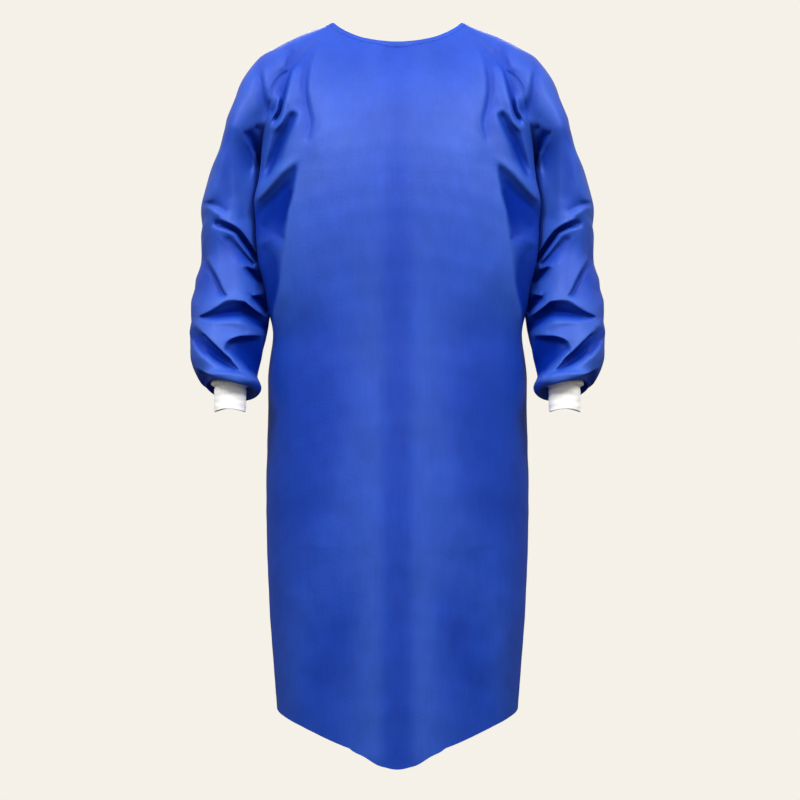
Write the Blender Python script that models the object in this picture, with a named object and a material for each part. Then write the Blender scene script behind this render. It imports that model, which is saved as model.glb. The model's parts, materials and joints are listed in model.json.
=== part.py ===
"""Surgical gown in its worn, hollow form, with no wearer.

A long-sleeved raglan gown that closes at the back: one front panel, two overlapping back panels, two raglan
sleeves gathered into knit cuffs, a binding round the neck, and two pairs of ties at the back.

Every piece is a cloth wall. Its outer face is a grid of points worked out from tables of sections, pushed in or
out by a table of folds, and its inner face is the same grid moved in by the wall. Metres, +Z up, front towards
-Y. The origin is the middle of the shoulder line, where the wearer's shoulders carry the gown.
Tables give the side at +X; the other side is its mirror image.
"""

import math
from collections import namedtuple

import bpy
import numpy as np
from mathutils import Vector

WALL = 0.0015
SEAM_GAP = 0.0003

FRONT_COLUMNS = 32
BACK_COLUMNS = 11
SLEEVE_COLUMNS = 24
YOKE_ROWS = 11
CHEST_ROWS = 10
SKIRT_ROWS = 12
FOREARM_ROWS = 20

UNDERARM = 0.240
WAIST = 0.520
HEM = 1.160
SLEEVE_END = 0.640

FOREARM_SPACING = 1.25

ARM_DIP_Y = 0.014
ARM_DIP_REACH = 0.046
PINCH_FULLNESS = 1.3

BACK_EDGE_AT_NECK = 0.052
BACK_EDGE_AT_HEM = 0.090
OVERLAP_START = 0.78
OVERLAP_FULL = 0.46
OVER_LIFT = 0.0035
UNDER_LIFT = -0.0025

CREASE_COSINE = 0.5
ALWAYS_JOINED = -2.0
SHARP_ANGLE = 50.0

CUFF_LENGTH = 0.056
CUFF_TILT = 8.0
CUFF_SAG = 0.0010
CUFF_ROWS = (0.0, 0.03, 0.24, 0.33, 1.0)
CUFF_RADII = (0.0323, 0.0307, 0.0302, 0.0264, 0.0258)

BINDING_WIDTH = 0.009
BINDING_WALL = 0.0010
BINDING_CLEAR = 0.0004

TIE_WIDTH = 0.012
TIE_WALL = 0.0015

GOWN_BLUE = (0.018, 0.075, 0.52)
CUFF_WHITE = (0.80, 0.81, 0.83)

# A section of a body panel: its edge at the side or raglan seam, its middle line, how far round the section goes,
# how square it is, how far the arm presses the side in, and how far its middle hangs below the rest.
BodyRow = namedtuple("BodyRow", "station edge_x edge_y edge_z middle_y middle_z arc square arm_dip hem_dip")

FRONT_ROWS = (
    BodyRow(0.000, 0.110, -0.026, 0.0240, -0.060, -0.0165, 62, 2.00, 0.000, 0.000),
    BodyRow(0.045, 0.150, -0.062, -0.026, -0.083, -0.052, 62, 2.10, 0.000, 0.000),
    BodyRow(0.085, 0.181, -0.083, -0.066, -0.102, -0.090, 64, 2.20, 0.000, 0.000),
    BodyRow(0.120, 0.206, -0.089, -0.100, -0.117, -0.126, 68, 2.30, 0.000, 0.000),
    BodyRow(0.160, 0.222, -0.074, -0.145, -0.129, -0.166, 76, 2.40, 0.004, 0.000),
    BodyRow(0.200, 0.237, -0.040, -0.192, -0.138, -0.208, 84, 2.45, 0.014, 0.000),
    BodyRow(0.240, 0.251, 0.012, -0.235, -0.144, -0.246, 90, 2.50, 0.029, 0.000),
    BodyRow(0.290, 0.259, 0.014, -0.290, -0.148, -0.296, 90, 2.50, 0.038, 0.000),
    BodyRow(0.360, 0.253, 0.014, -0.360, -0.149, -0.362, 90, 2.50, 0.036, 0.000),
    BodyRow(0.440, 0.240, 0.014, -0.440, -0.147, -0.440, 90, 2.45, 0.028, 0.000),
    BodyRow(0.480, 0.226, 0.012, -0.480, -0.146, -0.480, 90, 2.40, 0.014, 0.000),
    BodyRow(0.520, 0.219, 0.008, -0.520, -0.146, -0.520, 90, 2.35, 0.002, 0.000),
    BodyRow(0.575, 0.2250, 0.003, -0.575, -0.1485, -0.575, 90, 2.30, 0.000, 0.000),
    BodyRow(0.630, 0.2255, 0.000, -0.630, -0.151, -0.630, 90, 2.30, 0.000, 0.000),
    BodyRow(0.800, 0.229, 0.000, -0.800, -0.159, -0.800, 90, 2.30, 0.000, -0.008),
    BodyRow(0.980, 0.2235, 0.000, -0.980, -0.166, -0.980, 90, 2.30, 0.000, -0.028),
    BodyRow(1.160, 0.2105, 0.000, -1.160, -0.172, -1.160, 90, 2.30, 0.000, -0.073),
)

BACK_ROWS = (
    BodyRow(0.000, 0.104, 0.036, 0.0255, 0.072, 0.010, 62, 2.00, 0.000, 0.000),
    BodyRow(0.045, 0.146, 0.074, -0.018, 0.098, -0.035, 62, 2.10, 0.000, 0.000),
    BodyRow(0.085, 0.177, 0.096, -0.062, 0.113, -0.078, 64, 2.20, 0.000, 0.000),
    BodyRow(0.120, 0.200, 0.104, -0.100, 0.122, -0.115, 68, 2.30, 0.000, 0.000),
    BodyRow(0.160, 0.218, 0.092, -0.147, 0.128, -0.158, 76, 2.40, 0.004, 0.000),
    BodyRow(0.200, 0.235, 0.058, -0.193, 0.131, -0.202, 84, 2.45, 0.014, 0.000),
    BodyRow(0.240, 0.251, 0.012, -0.235, 0.131, -0.242, 90, 2.50, 0.029, 0.000),
    BodyRow(0.290, 0.259, 0.014, -0.290, 0.129, -0.294, 90, 2.50, 0.038, 0.000),
    BodyRow(0.360, 0.253, 0.014, -0.360, 0.124, -0.361, 90, 2.50, 0.036, 0.000),
    BodyRow(0.440, 0.240, 0.014, -0.440, 0.119, -0.440, 90, 2.45, 0.028, 0.000),
    BodyRow(0.480, 0.226, 0.012, -0.480, 0.118, -0.480, 90, 2.40, 0.014, 0.000),
    BodyRow(0.520, 0.219, 0.008, -0.520, 0.119, -0.520, 90, 2.35, 0.002, 0.000),
    BodyRow(0.575, 0.2250, 0.003, -0.575, 0.1230, -0.575, 90, 2.30, 0.000, 0.000),
    BodyRow(0.630, 0.2255, 0.000, -0.630, 0.127, -0.630, 90, 2.30, 0.000, 0.000),
    BodyRow(0.800, 0.229, 0.000, -0.800, 0.138, -0.800, 90, 2.30, 0.000, 0.000),
    BodyRow(0.980, 0.2235, 0.000, -0.980, 0.146, -0.980, 90, 2.30, 0.000, -0.004),
    BodyRow(1.160, 0.2105, 0.000, -1.160, 0.150, -1.160, 90, 2.30, 0.000, -0.010),
)

# A section of a sleeve: its outermost point, its innermost point below the underarm, its half depth front to back,
# how far it has closed into a ring, how sharply it is pinched at the underarm, and how far the ring leans forward.
SleeveRow = namedtuple("SleeveRow",
                       "station outer_x outer_y outer_z inner_x inner_y inner_z depth closing pinch lean")

SLEEVE_ROWS = (
    SleeveRow(0.000, 0.1165, 0.004, 0.0260, 0.222, 0.012, -0.235, 0.030, 0.00, 1.0, 0),
    SleeveRow(0.045, 0.1795, 0.006, 0.0040, 0.222, 0.012, -0.235, 0.030, 0.00, 1.0, 0),
    SleeveRow(0.085, 0.2320, 0.007, -0.0240, 0.222, 0.012, -0.235, 0.050, 0.05, 1.0, 0),
    SleeveRow(0.100, 0.2480, 0.007, -0.0420, 0.222, 0.012, -0.235, 0.060, 0.10, 1.0, 0),
    SleeveRow(0.120, 0.2660, 0.007, -0.0655, 0.222, 0.012, -0.235, 0.070, 0.18, 1.0, 0),
    SleeveRow(0.160, 0.2885, 0.008, -0.1220, 0.222, 0.012, -0.235, 0.088, 0.50, 1.0, 0),
    SleeveRow(0.200, 0.3070, 0.009, -0.1800, 0.222, 0.012, -0.235, 0.094, 0.82, 1.0, 0),
    SleeveRow(0.240, 0.3275, 0.010, -0.2380, 0.222, 0.012, -0.235, 0.096, 1.00, 1.0, 0),
    SleeveRow(0.290, 0.3420, 0.010, -0.290, 0.2335, 0.014, -0.283, 0.094, 1.00, 0.5, 0),
    SleeveRow(0.340, 0.3425, 0.010, -0.342, 0.2365, 0.014, -0.335, 0.091, 1.00, 0.2, 0),
    SleeveRow(0.390, 0.3455, 0.006, -0.392, 0.2345, 0.010, -0.388, 0.088, 1.00, 0.0, 2),
    SleeveRow(0.440, 0.3555, -0.006, -0.440, 0.2265, -0.002, -0.440, 0.084, 1.00, 0.0, 4),
    SleeveRow(0.480, 0.3585, -0.020, -0.478, 0.2225, -0.016, -0.478, 0.079, 1.00, 0.0, 7),
    SleeveRow(0.520, 0.3575, -0.038, -0.516, 0.2265, -0.034, -0.516, 0.073, 1.00, 0.0, 10),
    SleeveRow(0.560, 0.3530, -0.058, -0.556, 0.2335, -0.056, -0.556, 0.065, 1.00, 0.0, 14),
    SleeveRow(0.590, 0.3410, -0.072, -0.590, 0.2385, -0.072, -0.590, 0.056, 1.00, 0.0, 17),
    SleeveRow(0.612, 0.3265, -0.088, -0.602, 0.2305, -0.088, -0.610, 0.058, 1.00, 0.0, 22),
    SleeveRow(0.625, 0.3215, -0.093, -0.608, 0.2395, -0.093, -0.617, 0.0450, 1.00, 0.0, 22),
    SleeveRow(0.640, 0.3142, -0.096, -0.592, 0.2478, -0.096, -0.592, 0.0332, 1.00, 0.0, 8),
)

# How far below the rest the hem hangs, as a share of the row's hem_dip, by the distance from the middle of the gown.
HemShape = namedtuple("HemShape", "station share")

HEM_SHAPE = (
    HemShape(0.000, 1.000),
    HemShape(0.027, 0.925),
    HemShape(0.054, 0.740),
    HemShape(0.080, 0.515),
    HemShape(0.110, 0.400),
    HemShape(0.141, 0.255),
    HemShape(0.176, 0.105),
    HemShape(0.194, 0.045),
    HemShape(0.230, 0.000),
)

# A fold: the pieces it lies on, which face, its line as seen from that face (x, z), its height (a ridge is
# positive, a valley negative), and its reach on the side towards the middle of the gown and on the other side.
Fold = namedtuple("Fold", "piece face line height reach_in reach_out")

FOLDS = (
    Fold("body", "front", ((0.131, -0.012), (0.143, -0.030), (0.150, -0.065), (0.152, -0.112), (0.140, -0.160)),
         -0.005, 0.018, 0.018),
    Fold("sleeve", "front", ((0.170, -0.020), (0.180, -0.040), (0.186, -0.070)), -0.006, 0.016, 0.016),
    Fold("body", "front", ((0.190, -0.098), (0.196, -0.130), (0.199, -0.160)), 0.008, 0.012, 0.012),
    Fold("body", "front", ((0.188, -0.150), (0.200, -0.190), (0.214, -0.230), (0.232, -0.275)), -0.013, 0.018, 0.016),
    Fold("body", "front", ((0.166, -0.232), (0.172, -0.275), (0.182, -0.330), (0.192, -0.410), (0.200, -0.500)),
         0.012, 0.045, 0.020),
    Fold("body", "front", ((0.203, -0.255), (0.210, -0.320), (0.212, -0.400)), -0.010, 0.018, 0.013),
    Fold("sleeve", "front", ((0.234, -0.066), (0.230, -0.105), (0.222, -0.140)), -0.011, 0.014, 0.014),
    Fold("sleeve", "front", ((0.271, -0.215), (0.273, -0.270), (0.262, -0.312)), 0.007, 0.014, 0.018),
    Fold("sleeve", "front", ((0.330, -0.296), (0.304, -0.312), (0.276, -0.325), (0.250, -0.335)), 0.007, 0.012, 0.012),
    Fold("sleeve", "front", ((0.312, -0.325), (0.276, -0.340), (0.250, -0.372), (0.238, -0.392)), -0.012, 0.014, 0.014),
    Fold("sleeve", "front", ((0.318, -0.340), (0.284, -0.352), (0.262, -0.385), (0.244, -0.405)), 0.008, 0.012, 0.012),
    Fold("sleeve", "front", ((0.303, -0.398), (0.276, -0.398), (0.256, -0.425), (0.242, -0.435)), -0.008, 0.014, 0.014),
    Fold("sleeve", "front", ((0.334, -0.384), (0.317, -0.412), (0.300, -0.440), (0.290, -0.452)), -0.007, 0.012, 0.014),
    Fold("sleeve", "front", ((0.340, -0.484), (0.308, -0.474), (0.276, -0.466), (0.250, -0.472), (0.230, -0.488)),
         -0.016, 0.016, 0.016),
    Fold("sleeve", "front", ((0.338, -0.500), (0.310, -0.500), (0.284, -0.492), (0.258, -0.496), (0.232, -0.510)),
         0.009, 0.012, 0.014),
    Fold("sleeve", "front", ((0.350, -0.520), (0.318, -0.528), (0.294, -0.552), (0.272, -0.572)), -0.010, 0.012, 0.012),
    Fold("sleeve", "front", ((0.334, -0.507), (0.294, -0.540), (0.266, -0.567), (0.244, -0.585)), 0.007, 0.010, 0.012),
    Fold("body", "front", ((0.044, -0.760), (0.046, -0.950), (0.042, -1.230)), 0.006, 0.028, 0.030),
    Fold("body", "front", ((0.000, -0.700), (0.000, -0.950), (0.000, -1.230)), -0.003, 0.022, 0.022),
    Fold("body", "front", ((0.098, -0.900), (0.104, -1.020), (0.100, -1.200)), -0.007, 0.030, 0.032),
    Fold("body", "back", ((0.150, -0.140), (0.170, -0.230), (0.178, -0.330), (0.184, -0.450)), 0.010, 0.040, 0.022),
    Fold("body", "back", ((0.196, -0.160), (0.206, -0.250), (0.208, -0.360)), -0.010, 0.018, 0.018),
    Fold("body", "back", ((0.120, -0.700), (0.124, -0.950), (0.118, -1.200)), 0.007, 0.036, 0.036),
    Fold("body", "back", ((0.172, -0.800), (0.176, -1.000), (0.170, -1.200)), -0.006, 0.026, 0.026),
    Fold("sleeve", "back", ((0.170, -0.030), (0.196, -0.090), (0.212, -0.150)), -0.007, 0.018, 0.018),
    Fold("sleeve", "back", ((0.290, -0.150), (0.286, -0.230), (0.280, -0.300)), 0.006, 0.018, 0.018),
    Fold("sleeve", "back", ((0.334, -0.330), (0.300, -0.345), (0.262, -0.330)), -0.009, 0.016, 0.016),
    Fold("sleeve", "back", ((0.330, -0.362), (0.298, -0.378), (0.258, -0.370)), 0.008, 0.014, 0.014),
    Fold("sleeve", "back", ((0.340, -0.420), (0.300, -0.418), (0.256, -0.436)), -0.009, 0.015, 0.015),
    Fold("sleeve", "back", ((0.346, -0.470), (0.306, -0.480), (0.256, -0.464)), 0.008, 0.014, 0.014),
    Fold("sleeve", "back", ((0.344, -0.530), (0.304, -0.520), (0.262, -0.545)), -0.010, 0.014, 0.014),
)
FOLD_TAPER = 0.22
FOLD_END_SHARE = 0.25
FOLD_SHARPNESS = 1.5
FACE_TURN = 0.30

# A tie: the station and x where its root is sewn on, the x where its tail hangs, how far it lies off the cloth there,
# and its tail's length and sideways lean.
Tie = namedtuple("Tie", "node station root_x tail_x lift tail tail_lean")

TIES = (
    Tie("neck_tie_left", 0.034, -0.026, -0.074, 0.0078, 0.190, -0.004),
    Tie("neck_tie_right", 0.034, -0.114, -0.090, 0.0024, 0.175, -0.006),
    Tie("waist_tie_left", 0.430, -0.035, -0.090, 0.0078, 0.240, -0.004),
    Tie("waist_tie_right", 0.430, -0.160, -0.106, 0.0024, 0.225, -0.010),
)
TIE_TURN = 0.013
TIE_CLEAR = 0.0006
ACROSS_SHARES = (0.0, 0.5, 1.0)
TURN_POINTS = 4
TAIL_POINTS = 8
KNOT_SIZE = (0.030, 0.009, 0.017)
KNOT_LIFT = 0.0088
KNOT_BEVEL = 0.0035
TAIL_LIFT = 0.0034
TAIL_SETTLE_POINTS = 3


def clear_scene():
    for item in list(bpy.data.objects):
        bpy.data.objects.remove(item, do_unlink=True)


def cloth_material(name, colour, roughness):
    material = bpy.data.materials.new(name)
    material.use_nodes = True
    shader = material.node_tree.nodes["Principled BSDF"]
    shader.inputs["Base Color"].default_value = (*colour, 1.0)
    shader.inputs["Roughness"].default_value = roughness
    shader.inputs["Metallic"].default_value = 0.0
    return material


def smooth_step(t):
    return t * t * (3 - 2 * t)


def smooth_column(keys, values, at):
    """Read a table's column at a station, on a cubic through its rows."""
    keys = np.asarray(keys, float)
    values = np.asarray(values, float)
    spans = np.diff(keys)
    rises = np.diff(values) / spans
    slopes = np.empty_like(values)
    slopes[0] = rises[0]
    slopes[-1] = rises[-1]
    slopes[1:-1] = (rises[:-1] * spans[1:] + rises[1:] * spans[:-1]) / (spans[:-1] + spans[1:])
    row = int(np.clip(np.searchsorted(keys, at) - 1, 0, len(spans) - 1))
    span = spans[row]
    t = (at - keys[row]) / span
    return (values[row] * (1 + 2 * t) * (1 - t) ** 2 + values[row + 1] * t * t * (3 - 2 * t)
            + span * slopes[row] * t * (1 - t) ** 2 + span * slopes[row + 1] * t * t * (t - 1))


def read_row(table, station):
    keys = [row.station for row in table]
    columns = {field: smooth_column(keys, [getattr(row, field) for row in table], station)
               for field in table[0]._fields}
    return type(table[0])(**columns)


def body_point(row, across):
    """A point of a body section, across = 0 at its middle and 1 or -1 at its seams."""
    arc = math.radians(row.arc)
    angle = abs(across) * arc
    power = 2.0 / row.square
    reach = (math.sin(angle) / math.sin(arc)) ** power
    edge_cosine = max(math.cos(arc), 0.0) ** power
    depth = (max(math.cos(angle), 0.0) ** power - edge_cosine) / (1.0 - edge_cosine)
    x = row.edge_x * reach
    y = row.edge_y + (row.middle_y - row.edge_y) * depth
    z = row.edge_z + (row.middle_z - row.edge_z) * depth
    z += row.hem_dip * read_row(HEM_SHAPE, x).share
    x -= row.arm_dip * math.exp(-((y - ARM_DIP_Y) / ARM_DIP_REACH) ** 2)
    return np.array((math.copysign(x, across), y, z))


def body_stations():
    yoke = np.linspace(0.0, UNDERARM, YOKE_ROWS + 1)
    chest = np.linspace(UNDERARM, WAIST, CHEST_ROWS + 1)[1:]
    skirt = np.linspace(WAIST, HEM, SKIRT_ROWS + 1)[1:]
    return np.concatenate((yoke, chest, skirt))


def sleeve_stations():
    yoke = np.linspace(0.0, UNDERARM, YOKE_ROWS + 1)
    spread = np.linspace(0.0, 1.0, FOREARM_ROWS + 1)[1:]
    forearm = UNDERARM + (SLEEVE_END - UNDERARM) * (1.0 - (1.0 - spread) ** FOREARM_SPACING)
    return np.concatenate((yoke, forearm))


def front_grid():
    across = np.linspace(-1.0, 1.0, FRONT_COLUMNS + 1)
    return np.array([[body_point(read_row(FRONT_ROWS, s), a) for a in across] for s in body_stations()])


def back_row(station):
    """A section of the back, which shares the front's side seam below the underarm."""
    row = read_row(BACK_ROWS, station)
    if station < UNDERARM:
        return row
    front = read_row(FRONT_ROWS, station)
    return row._replace(edge_x=front.edge_x, edge_y=front.edge_y, edge_z=front.edge_z, arm_dip=front.arm_dip)


def back_across(row):
    """How far across the section each column of a back panel lies, from its side seam to its free edge."""
    edge = BACK_EDGE_AT_NECK + (BACK_EDGE_AT_HEM - BACK_EDGE_AT_NECK) * row.station / HEM
    arc = math.radians(row.arc)
    past_middle = math.asin((edge / row.edge_x) ** (row.square / 2) * math.sin(arc)) / arc
    return np.linspace(1.0, -past_middle, BACK_COLUMNS + 1)


def back_grid(side):
    """One back panel, from its side seam past the middle to its free edge; the panel at +X lies over the other."""
    rows = [back_row(station) for station in body_stations()]
    return np.array([[body_point(row, a * side) for a in back_across(row)] for row in rows])


def sleeve_point(front, back, row, turn):
    """A point of a sleeve section, turn = 0 at the front seam, pi at the back seam, half way at the outside."""
    outer = np.array((row.outer_x, row.outer_y, row.outer_z))
    middle = (front + back) / 2
    lean = math.radians(row.lean)
    forward = np.array((0.0, -row.depth * math.cos(lean), row.depth * math.sin(lean)))
    open_arch = (1.0 - row.closing) * math.sin(turn)
    closed_ring = row.closing * (1.0 - math.cos(2 * turn)) / 2
    pinched = (PINCH_FULLNESS * max(math.sin(turn), 0.0)) ** max(row.pinch, 0.0)
    return (middle + (front - back) / 2 * math.cos(turn) + (outer - middle) * (open_arch + closed_ring)
            + forward * row.closing * math.sin(2 * turn) * pinched)


def sleeve_grid():
    turns = np.linspace(0.0, math.pi, SLEEVE_COLUMNS + 1)
    rows = []
    for station in sleeve_stations():
        row = read_row(SLEEVE_ROWS, station)
        if station <= UNDERARM + 1e-9:
            front = body_point(read_row(FRONT_ROWS, station), 1.0)
            back = body_point(back_row(station), 1.0)
        else:
            front = back = np.array((row.inner_x, row.inner_y, row.inner_z))
        rows.append([sleeve_point(front, back, row, turn) for turn in turns])
    return np.array(rows)


def halves(face, grid):
    """A face's two triangles, split along its shorter diagonal; a face with a doubled corner gives one."""
    a, b, c, d = face
    if np.linalg.norm(grid[a] - grid[c]) <= np.linalg.norm(grid[b] - grid[d]):
        triangles = [(a, b, c), (a, c, d)]
    else:
        triangles = [(a, b, d), (b, c, d)]
    return [triangle for triangle in triangles if len(set(triangle)) == 3]


def mirrored(grid):
    return grid * np.array((-1.0, 1.0, 1.0))


def quads_of(grid_shape, closed_from=None):
    """Corner indices of a grid's faces; rows from closed_from on join their last column to their first."""
    rows, columns = grid_shape
    faces = []
    for r in range(rows - 1):
        for c in range(columns - 1):
            corners = [(r, c), (r, c + 1), (r + 1, c + 1), (r + 1, c)]
            faces.append([(i, 0) if closed_from is not None and i >= closed_from and j == columns - 1 else (i, j)
                          for i, j in corners])
    return faces


def grid_normals(grid, faces):
    """Area-weighted normals of a grid's points."""
    normals = np.zeros_like(grid)
    for face in faces:
        a, b, c, d = (grid[corner] for corner in face)
        normal = np.cross(c - a, d - b)
        for corner in set(face):
            normals[corner] += normal
    return normals


def place_key(point):
    return tuple(np.round(point, 6))


def distance_along(line, x, z):
    """Signed distance from a fold's line, positive on its outer side, and how far along the line that is."""
    best = (1e9, 0.0)
    lengths = [math.dist(a, b) for a, b in zip(line, line[1:])]
    passed = 0.0
    for (ax, az), (bx, bz), length in zip(line, line[1:], lengths):
        dx, dz = (bx - ax) / length, (bz - az) / length
        t = min(max((x - ax) * dx + (z - az) * dz, 0.0), length)
        away_x, away_z = x - ax - dx * t, z - az - dz * t
        away = math.hypot(away_x, away_z)
        if away < abs(best[0]):
            outer = away_x * -dz + away_z * dx
            best = (math.copysign(away, outer), (passed + t) / sum(lengths))
        passed += length
    return best


def fold_height(fold, x, z):
    away, along = distance_along(fold.line, x, z)
    reach = fold.reach_out if away > 0 else fold.reach_in
    taper = min(1.0, along / FOLD_TAPER, (1.0 - along) / FOLD_TAPER)
    taper = FOLD_END_SHARE + (1.0 - FOLD_END_SHARE) * smooth_step(taper)
    return fold.height * taper * math.exp(-(abs(away) / reach) ** FOLD_SHARPNESS)


def folded(point, normal, pieces):
    """A point moved along its normal by the folds of its pieces that lie on the face it belongs to."""
    total = 0.0
    for fold in FOLDS:
        if fold.piece not in pieces:
            continue
        facing = -normal[1] if fold.face == "front" else normal[1]
        facing = min(max(facing / FACE_TURN, 0.0), 1.0)
        if facing > 0.0:
            total += facing * fold_height(fold, abs(point[0]), point[2])
    return point + normal * total


class Panel:
    """One cloth piece: its grid of outer points, its faces, and the pieces whose folds shape it."""

    def __init__(self, name, piece, grid, outward, closed_from=None):
        self.name = name
        self.piece = piece
        self.grid = grid
        self.closed_from = closed_from
        self.faces = quads_of(grid.shape[:2], closed_from)
        if not outward:
            self.faces = [face[::-1] for face in self.faces]

    def edges(self):
        """The panel's border, as directed pairs of corners."""
        count = {}
        for face in self.faces:
            for a, b in zip(face, face[1:] + face[:1]):
                if a != b:
                    count[(a, b)] = count.get((a, b), 0) + 1
        return [(a, b) for a, b in count if (b, a) not in count]


def shared_normals(panels, apart_cosine):
    """Each panel's unit normals; panels that meet at a seam share one, unless they meet more sharply than given."""
    own = [grid_normals(panel.grid, panel.faces) for panel in panels]
    total = {}
    for panel, normals in zip(panels, own):
        for corner in {corner for face in panel.faces for corner in face}:
            key = place_key(panel.grid[corner])
            total[key] = total.get(key, 0.0) + normals[corner]
    result = []
    for panel, normals in zip(panels, own):
        units = np.zeros_like(normals)
        for corner in {corner for face in panel.faces for corner in face}:
            alone = normals[corner] / np.linalg.norm(normals[corner])
            joint = total[place_key(panel.grid[corner])]
            joint = joint / max(np.linalg.norm(joint), 1e-12)
            units[corner] = joint if alone @ joint > apart_cosine else alone
        result.append(units)
    return result


def fold_panels(panels):
    """Push every panel in and out by the folds; a point on a seam takes the folds of both its pieces."""
    owners = {}
    for panel in panels:
        for face in panel.faces:
            for corner in face:
                owners.setdefault(place_key(panel.grid[corner]), set()).add(panel.piece)
    normals = shared_normals(panels, ALWAYS_JOINED)
    for panel, units in zip(panels, normals):
        moved = panel.grid.copy()
        for corner in {corner for face in panel.faces for corner in face}:
            point = panel.grid[corner]
            moved[corner] = folded(point, units[corner], owners[place_key(point)])
        if panel.closed_from is not None:
            moved[panel.closed_from:, -1] = moved[panel.closed_from:, 0]
        panel.grid = moved


def lift_overlap(panel, units, lift):
    """Part the two back panels where they lie over each other."""
    for r, station in enumerate(body_stations()):
        for column, a in enumerate(back_across(back_row(station))):
            t = min(max((OVERLAP_START - a) / (OVERLAP_START - OVERLAP_FULL), 0.0), 1.0)
            panel.grid[r, column] += units[r, column] * lift * smooth_step(t)


def inset_grid(panel, free_rows):
    """Pull a panel's seam edges back by half the seam gap, leaving its free edges where they are."""
    grid = panel.grid.copy()
    border = {corner for edge in panel.edges() for corner in edge}
    rows, columns = grid.shape[:2]
    for r, c in border:
        if (r, c) in free_rows:
            continue
        on_side = c in (0, columns - 1) and not (panel.closed_from is not None and r > panel.closed_from)
        if on_side:
            inner = (r, c + 1) if c == 0 else (r, c - 1)
            along = panel.grid[min(r + 1, rows - 1), c] - panel.grid[max(r - 1, 0), c]
        else:
            inner = (r + 1, c) if r == 0 else (r - 1, c)
            along = panel.grid[r, min(c + 1, columns - 1)] - panel.grid[r, max(c - 1, 0)]
        along = along / np.linalg.norm(along)
        step = panel.grid[inner] - panel.grid[r, c]
        step = step - along * (step @ along)
        grid[r, c] += step / np.linalg.norm(step) * SEAM_GAP / 2
    return grid


def add_mesh(name, points, faces, material, smooth=True):
    mesh = bpy.data.meshes.new(name)
    mesh.from_pydata([tuple(p) for p in points], [], faces)
    mesh.materials.append(material)
    mesh.update()
    if smooth:
        mesh.shade_smooth()
        mesh.set_sharp_from_angle(angle=math.radians(SHARP_ANGLE))
    item = bpy.data.objects.new(name, mesh)
    bpy.context.scene.collection.objects.link(item)
    return item


def add_shell(panel, grid, units, material):
    """A panel as a closed wall: the outer grid, the same grid moved in, and a strip round its border."""
    corners = sorted({corner for face in panel.faces for corner in face})
    index = {corner: i for i, corner in enumerate(corners)}
    outer = [grid[corner] for corner in corners]
    inner = [grid[corner] - units[corner] * WALL for corner in corners]
    shift = len(corners)
    faces = []
    for face in panel.faces:
        for triangle in halves(face, grid):
            ring = [index[corner] for corner in triangle]
            faces.append(ring)
            faces.append([i + shift for i in ring[::-1]])
    for a, b in panel.edges():
        faces.append([index[b], index[a], index[a] + shift, index[b] + shift])
    return add_mesh(panel.name, outer + inner, faces, material)


def swept(sections):
    """Points and faces of a solid through closed sections of equal count, capped at both ends."""
    count = len(sections[0])
    points = [p for section in sections for p in section]
    faces = [list(range(count))[::-1]]
    for s in range(len(sections) - 1):
        for i in range(count):
            j = (i + 1) % count
            faces.append([s * count + i, s * count + j, (s + 1) * count + j, (s + 1) * count + i])
    faces.append(list(range((len(sections) - 1) * count, len(sections) * count)))
    return points, faces


def outward(points, faces):
    """The same faces, turned round if they enclose a negative volume."""
    volume = 0.0
    for face in faces:
        a = np.asarray(points[face[0]])
        for i in range(1, len(face) - 1):
            volume += a @ np.cross(points[face[i]], points[face[i + 1]])
    return faces if volume > 0 else [face[::-1] for face in faces]


def add_swept(name, sections, material, smooth=False):
    points, faces = swept(sections)
    return add_mesh(name, points, outward(points, faces), material, smooth)


def add_binding(path, material):
    """The neck binding: a U-shaped strip over the neckline edge, along path = (edge point, normal, down)."""
    gap = BINDING_CLEAR
    wall = BINDING_WALL
    outline = (
        (gap + wall, BINDING_WIDTH), (gap + wall, -gap - wall), (-WALL - gap - wall, -gap - wall),
        (-WALL - gap - wall, BINDING_WIDTH), (-WALL - gap, BINDING_WIDTH), (-WALL - gap, -gap),
        (gap, -gap), (gap, BINDING_WIDTH),
    )
    sections = [[edge + normal * out + down * drop for out, drop in outline] for edge, normal, down in path]
    return add_swept("neck_binding", sections, material)


def neckline_path(panels, normals, order):
    """Edge points, normals and downward directions along the neckline, from one back edge round to the other."""
    path = []
    for name, step in order:
        panel = panels[name]
        units = normals[name]
        columns = range(panel.grid.shape[1])[::step]
        for column in columns:
            edge = panel.grid[0, column]
            if path and np.linalg.norm(path[-1][0] - edge) < 1e-7:
                continue
            down = panel.grid[1, column] - edge
            path.append((edge, units[0, column], down / np.linalg.norm(down)))
    return path


def add_cuff(name, ring, side, material):
    """A knit cuff: a tube, wider where it is sewn to the sleeve's end ring, whose lower edge droops at the sides."""
    tilt = math.radians(CUFF_TILT)
    axis = np.array((0.0, -math.sin(tilt), -math.cos(tilt)))
    forward = np.array((0.0, -math.cos(tilt), math.sin(tilt)))
    sideways = np.array((float(side), 0.0, 0.0))
    centre = (ring[0] + ring[SLEEVE_COLUMNS // 2]) / 2 + axis * SEAM_GAP
    outline = list(zip(CUFF_ROWS, CUFF_RADII))
    outline += [(t, radius - WALL) for t, radius in reversed(outline)]
    points = []
    for t, radius in outline:
        for i in range(SLEEVE_COLUMNS):
            turn = 2 * math.pi * i / SLEEVE_COLUMNS
            drop = CUFF_LENGTH * t + CUFF_SAG * t * math.cos(2 * turn)
            around = sideways * -math.cos(turn) + forward * math.sin(turn)
            points.append(centre + axis * drop + around * radius)
    count = SLEEVE_COLUMNS
    faces = []
    for s in range(len(outline)):
        for i in range(count):
            j = (i + 1) % count
            n = (s + 1) % len(outline)
            faces.append([s * count + i, s * count + j, n * count + j, n * count + i])
    return add_mesh(name, points, outward(points, faces), material)


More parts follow.
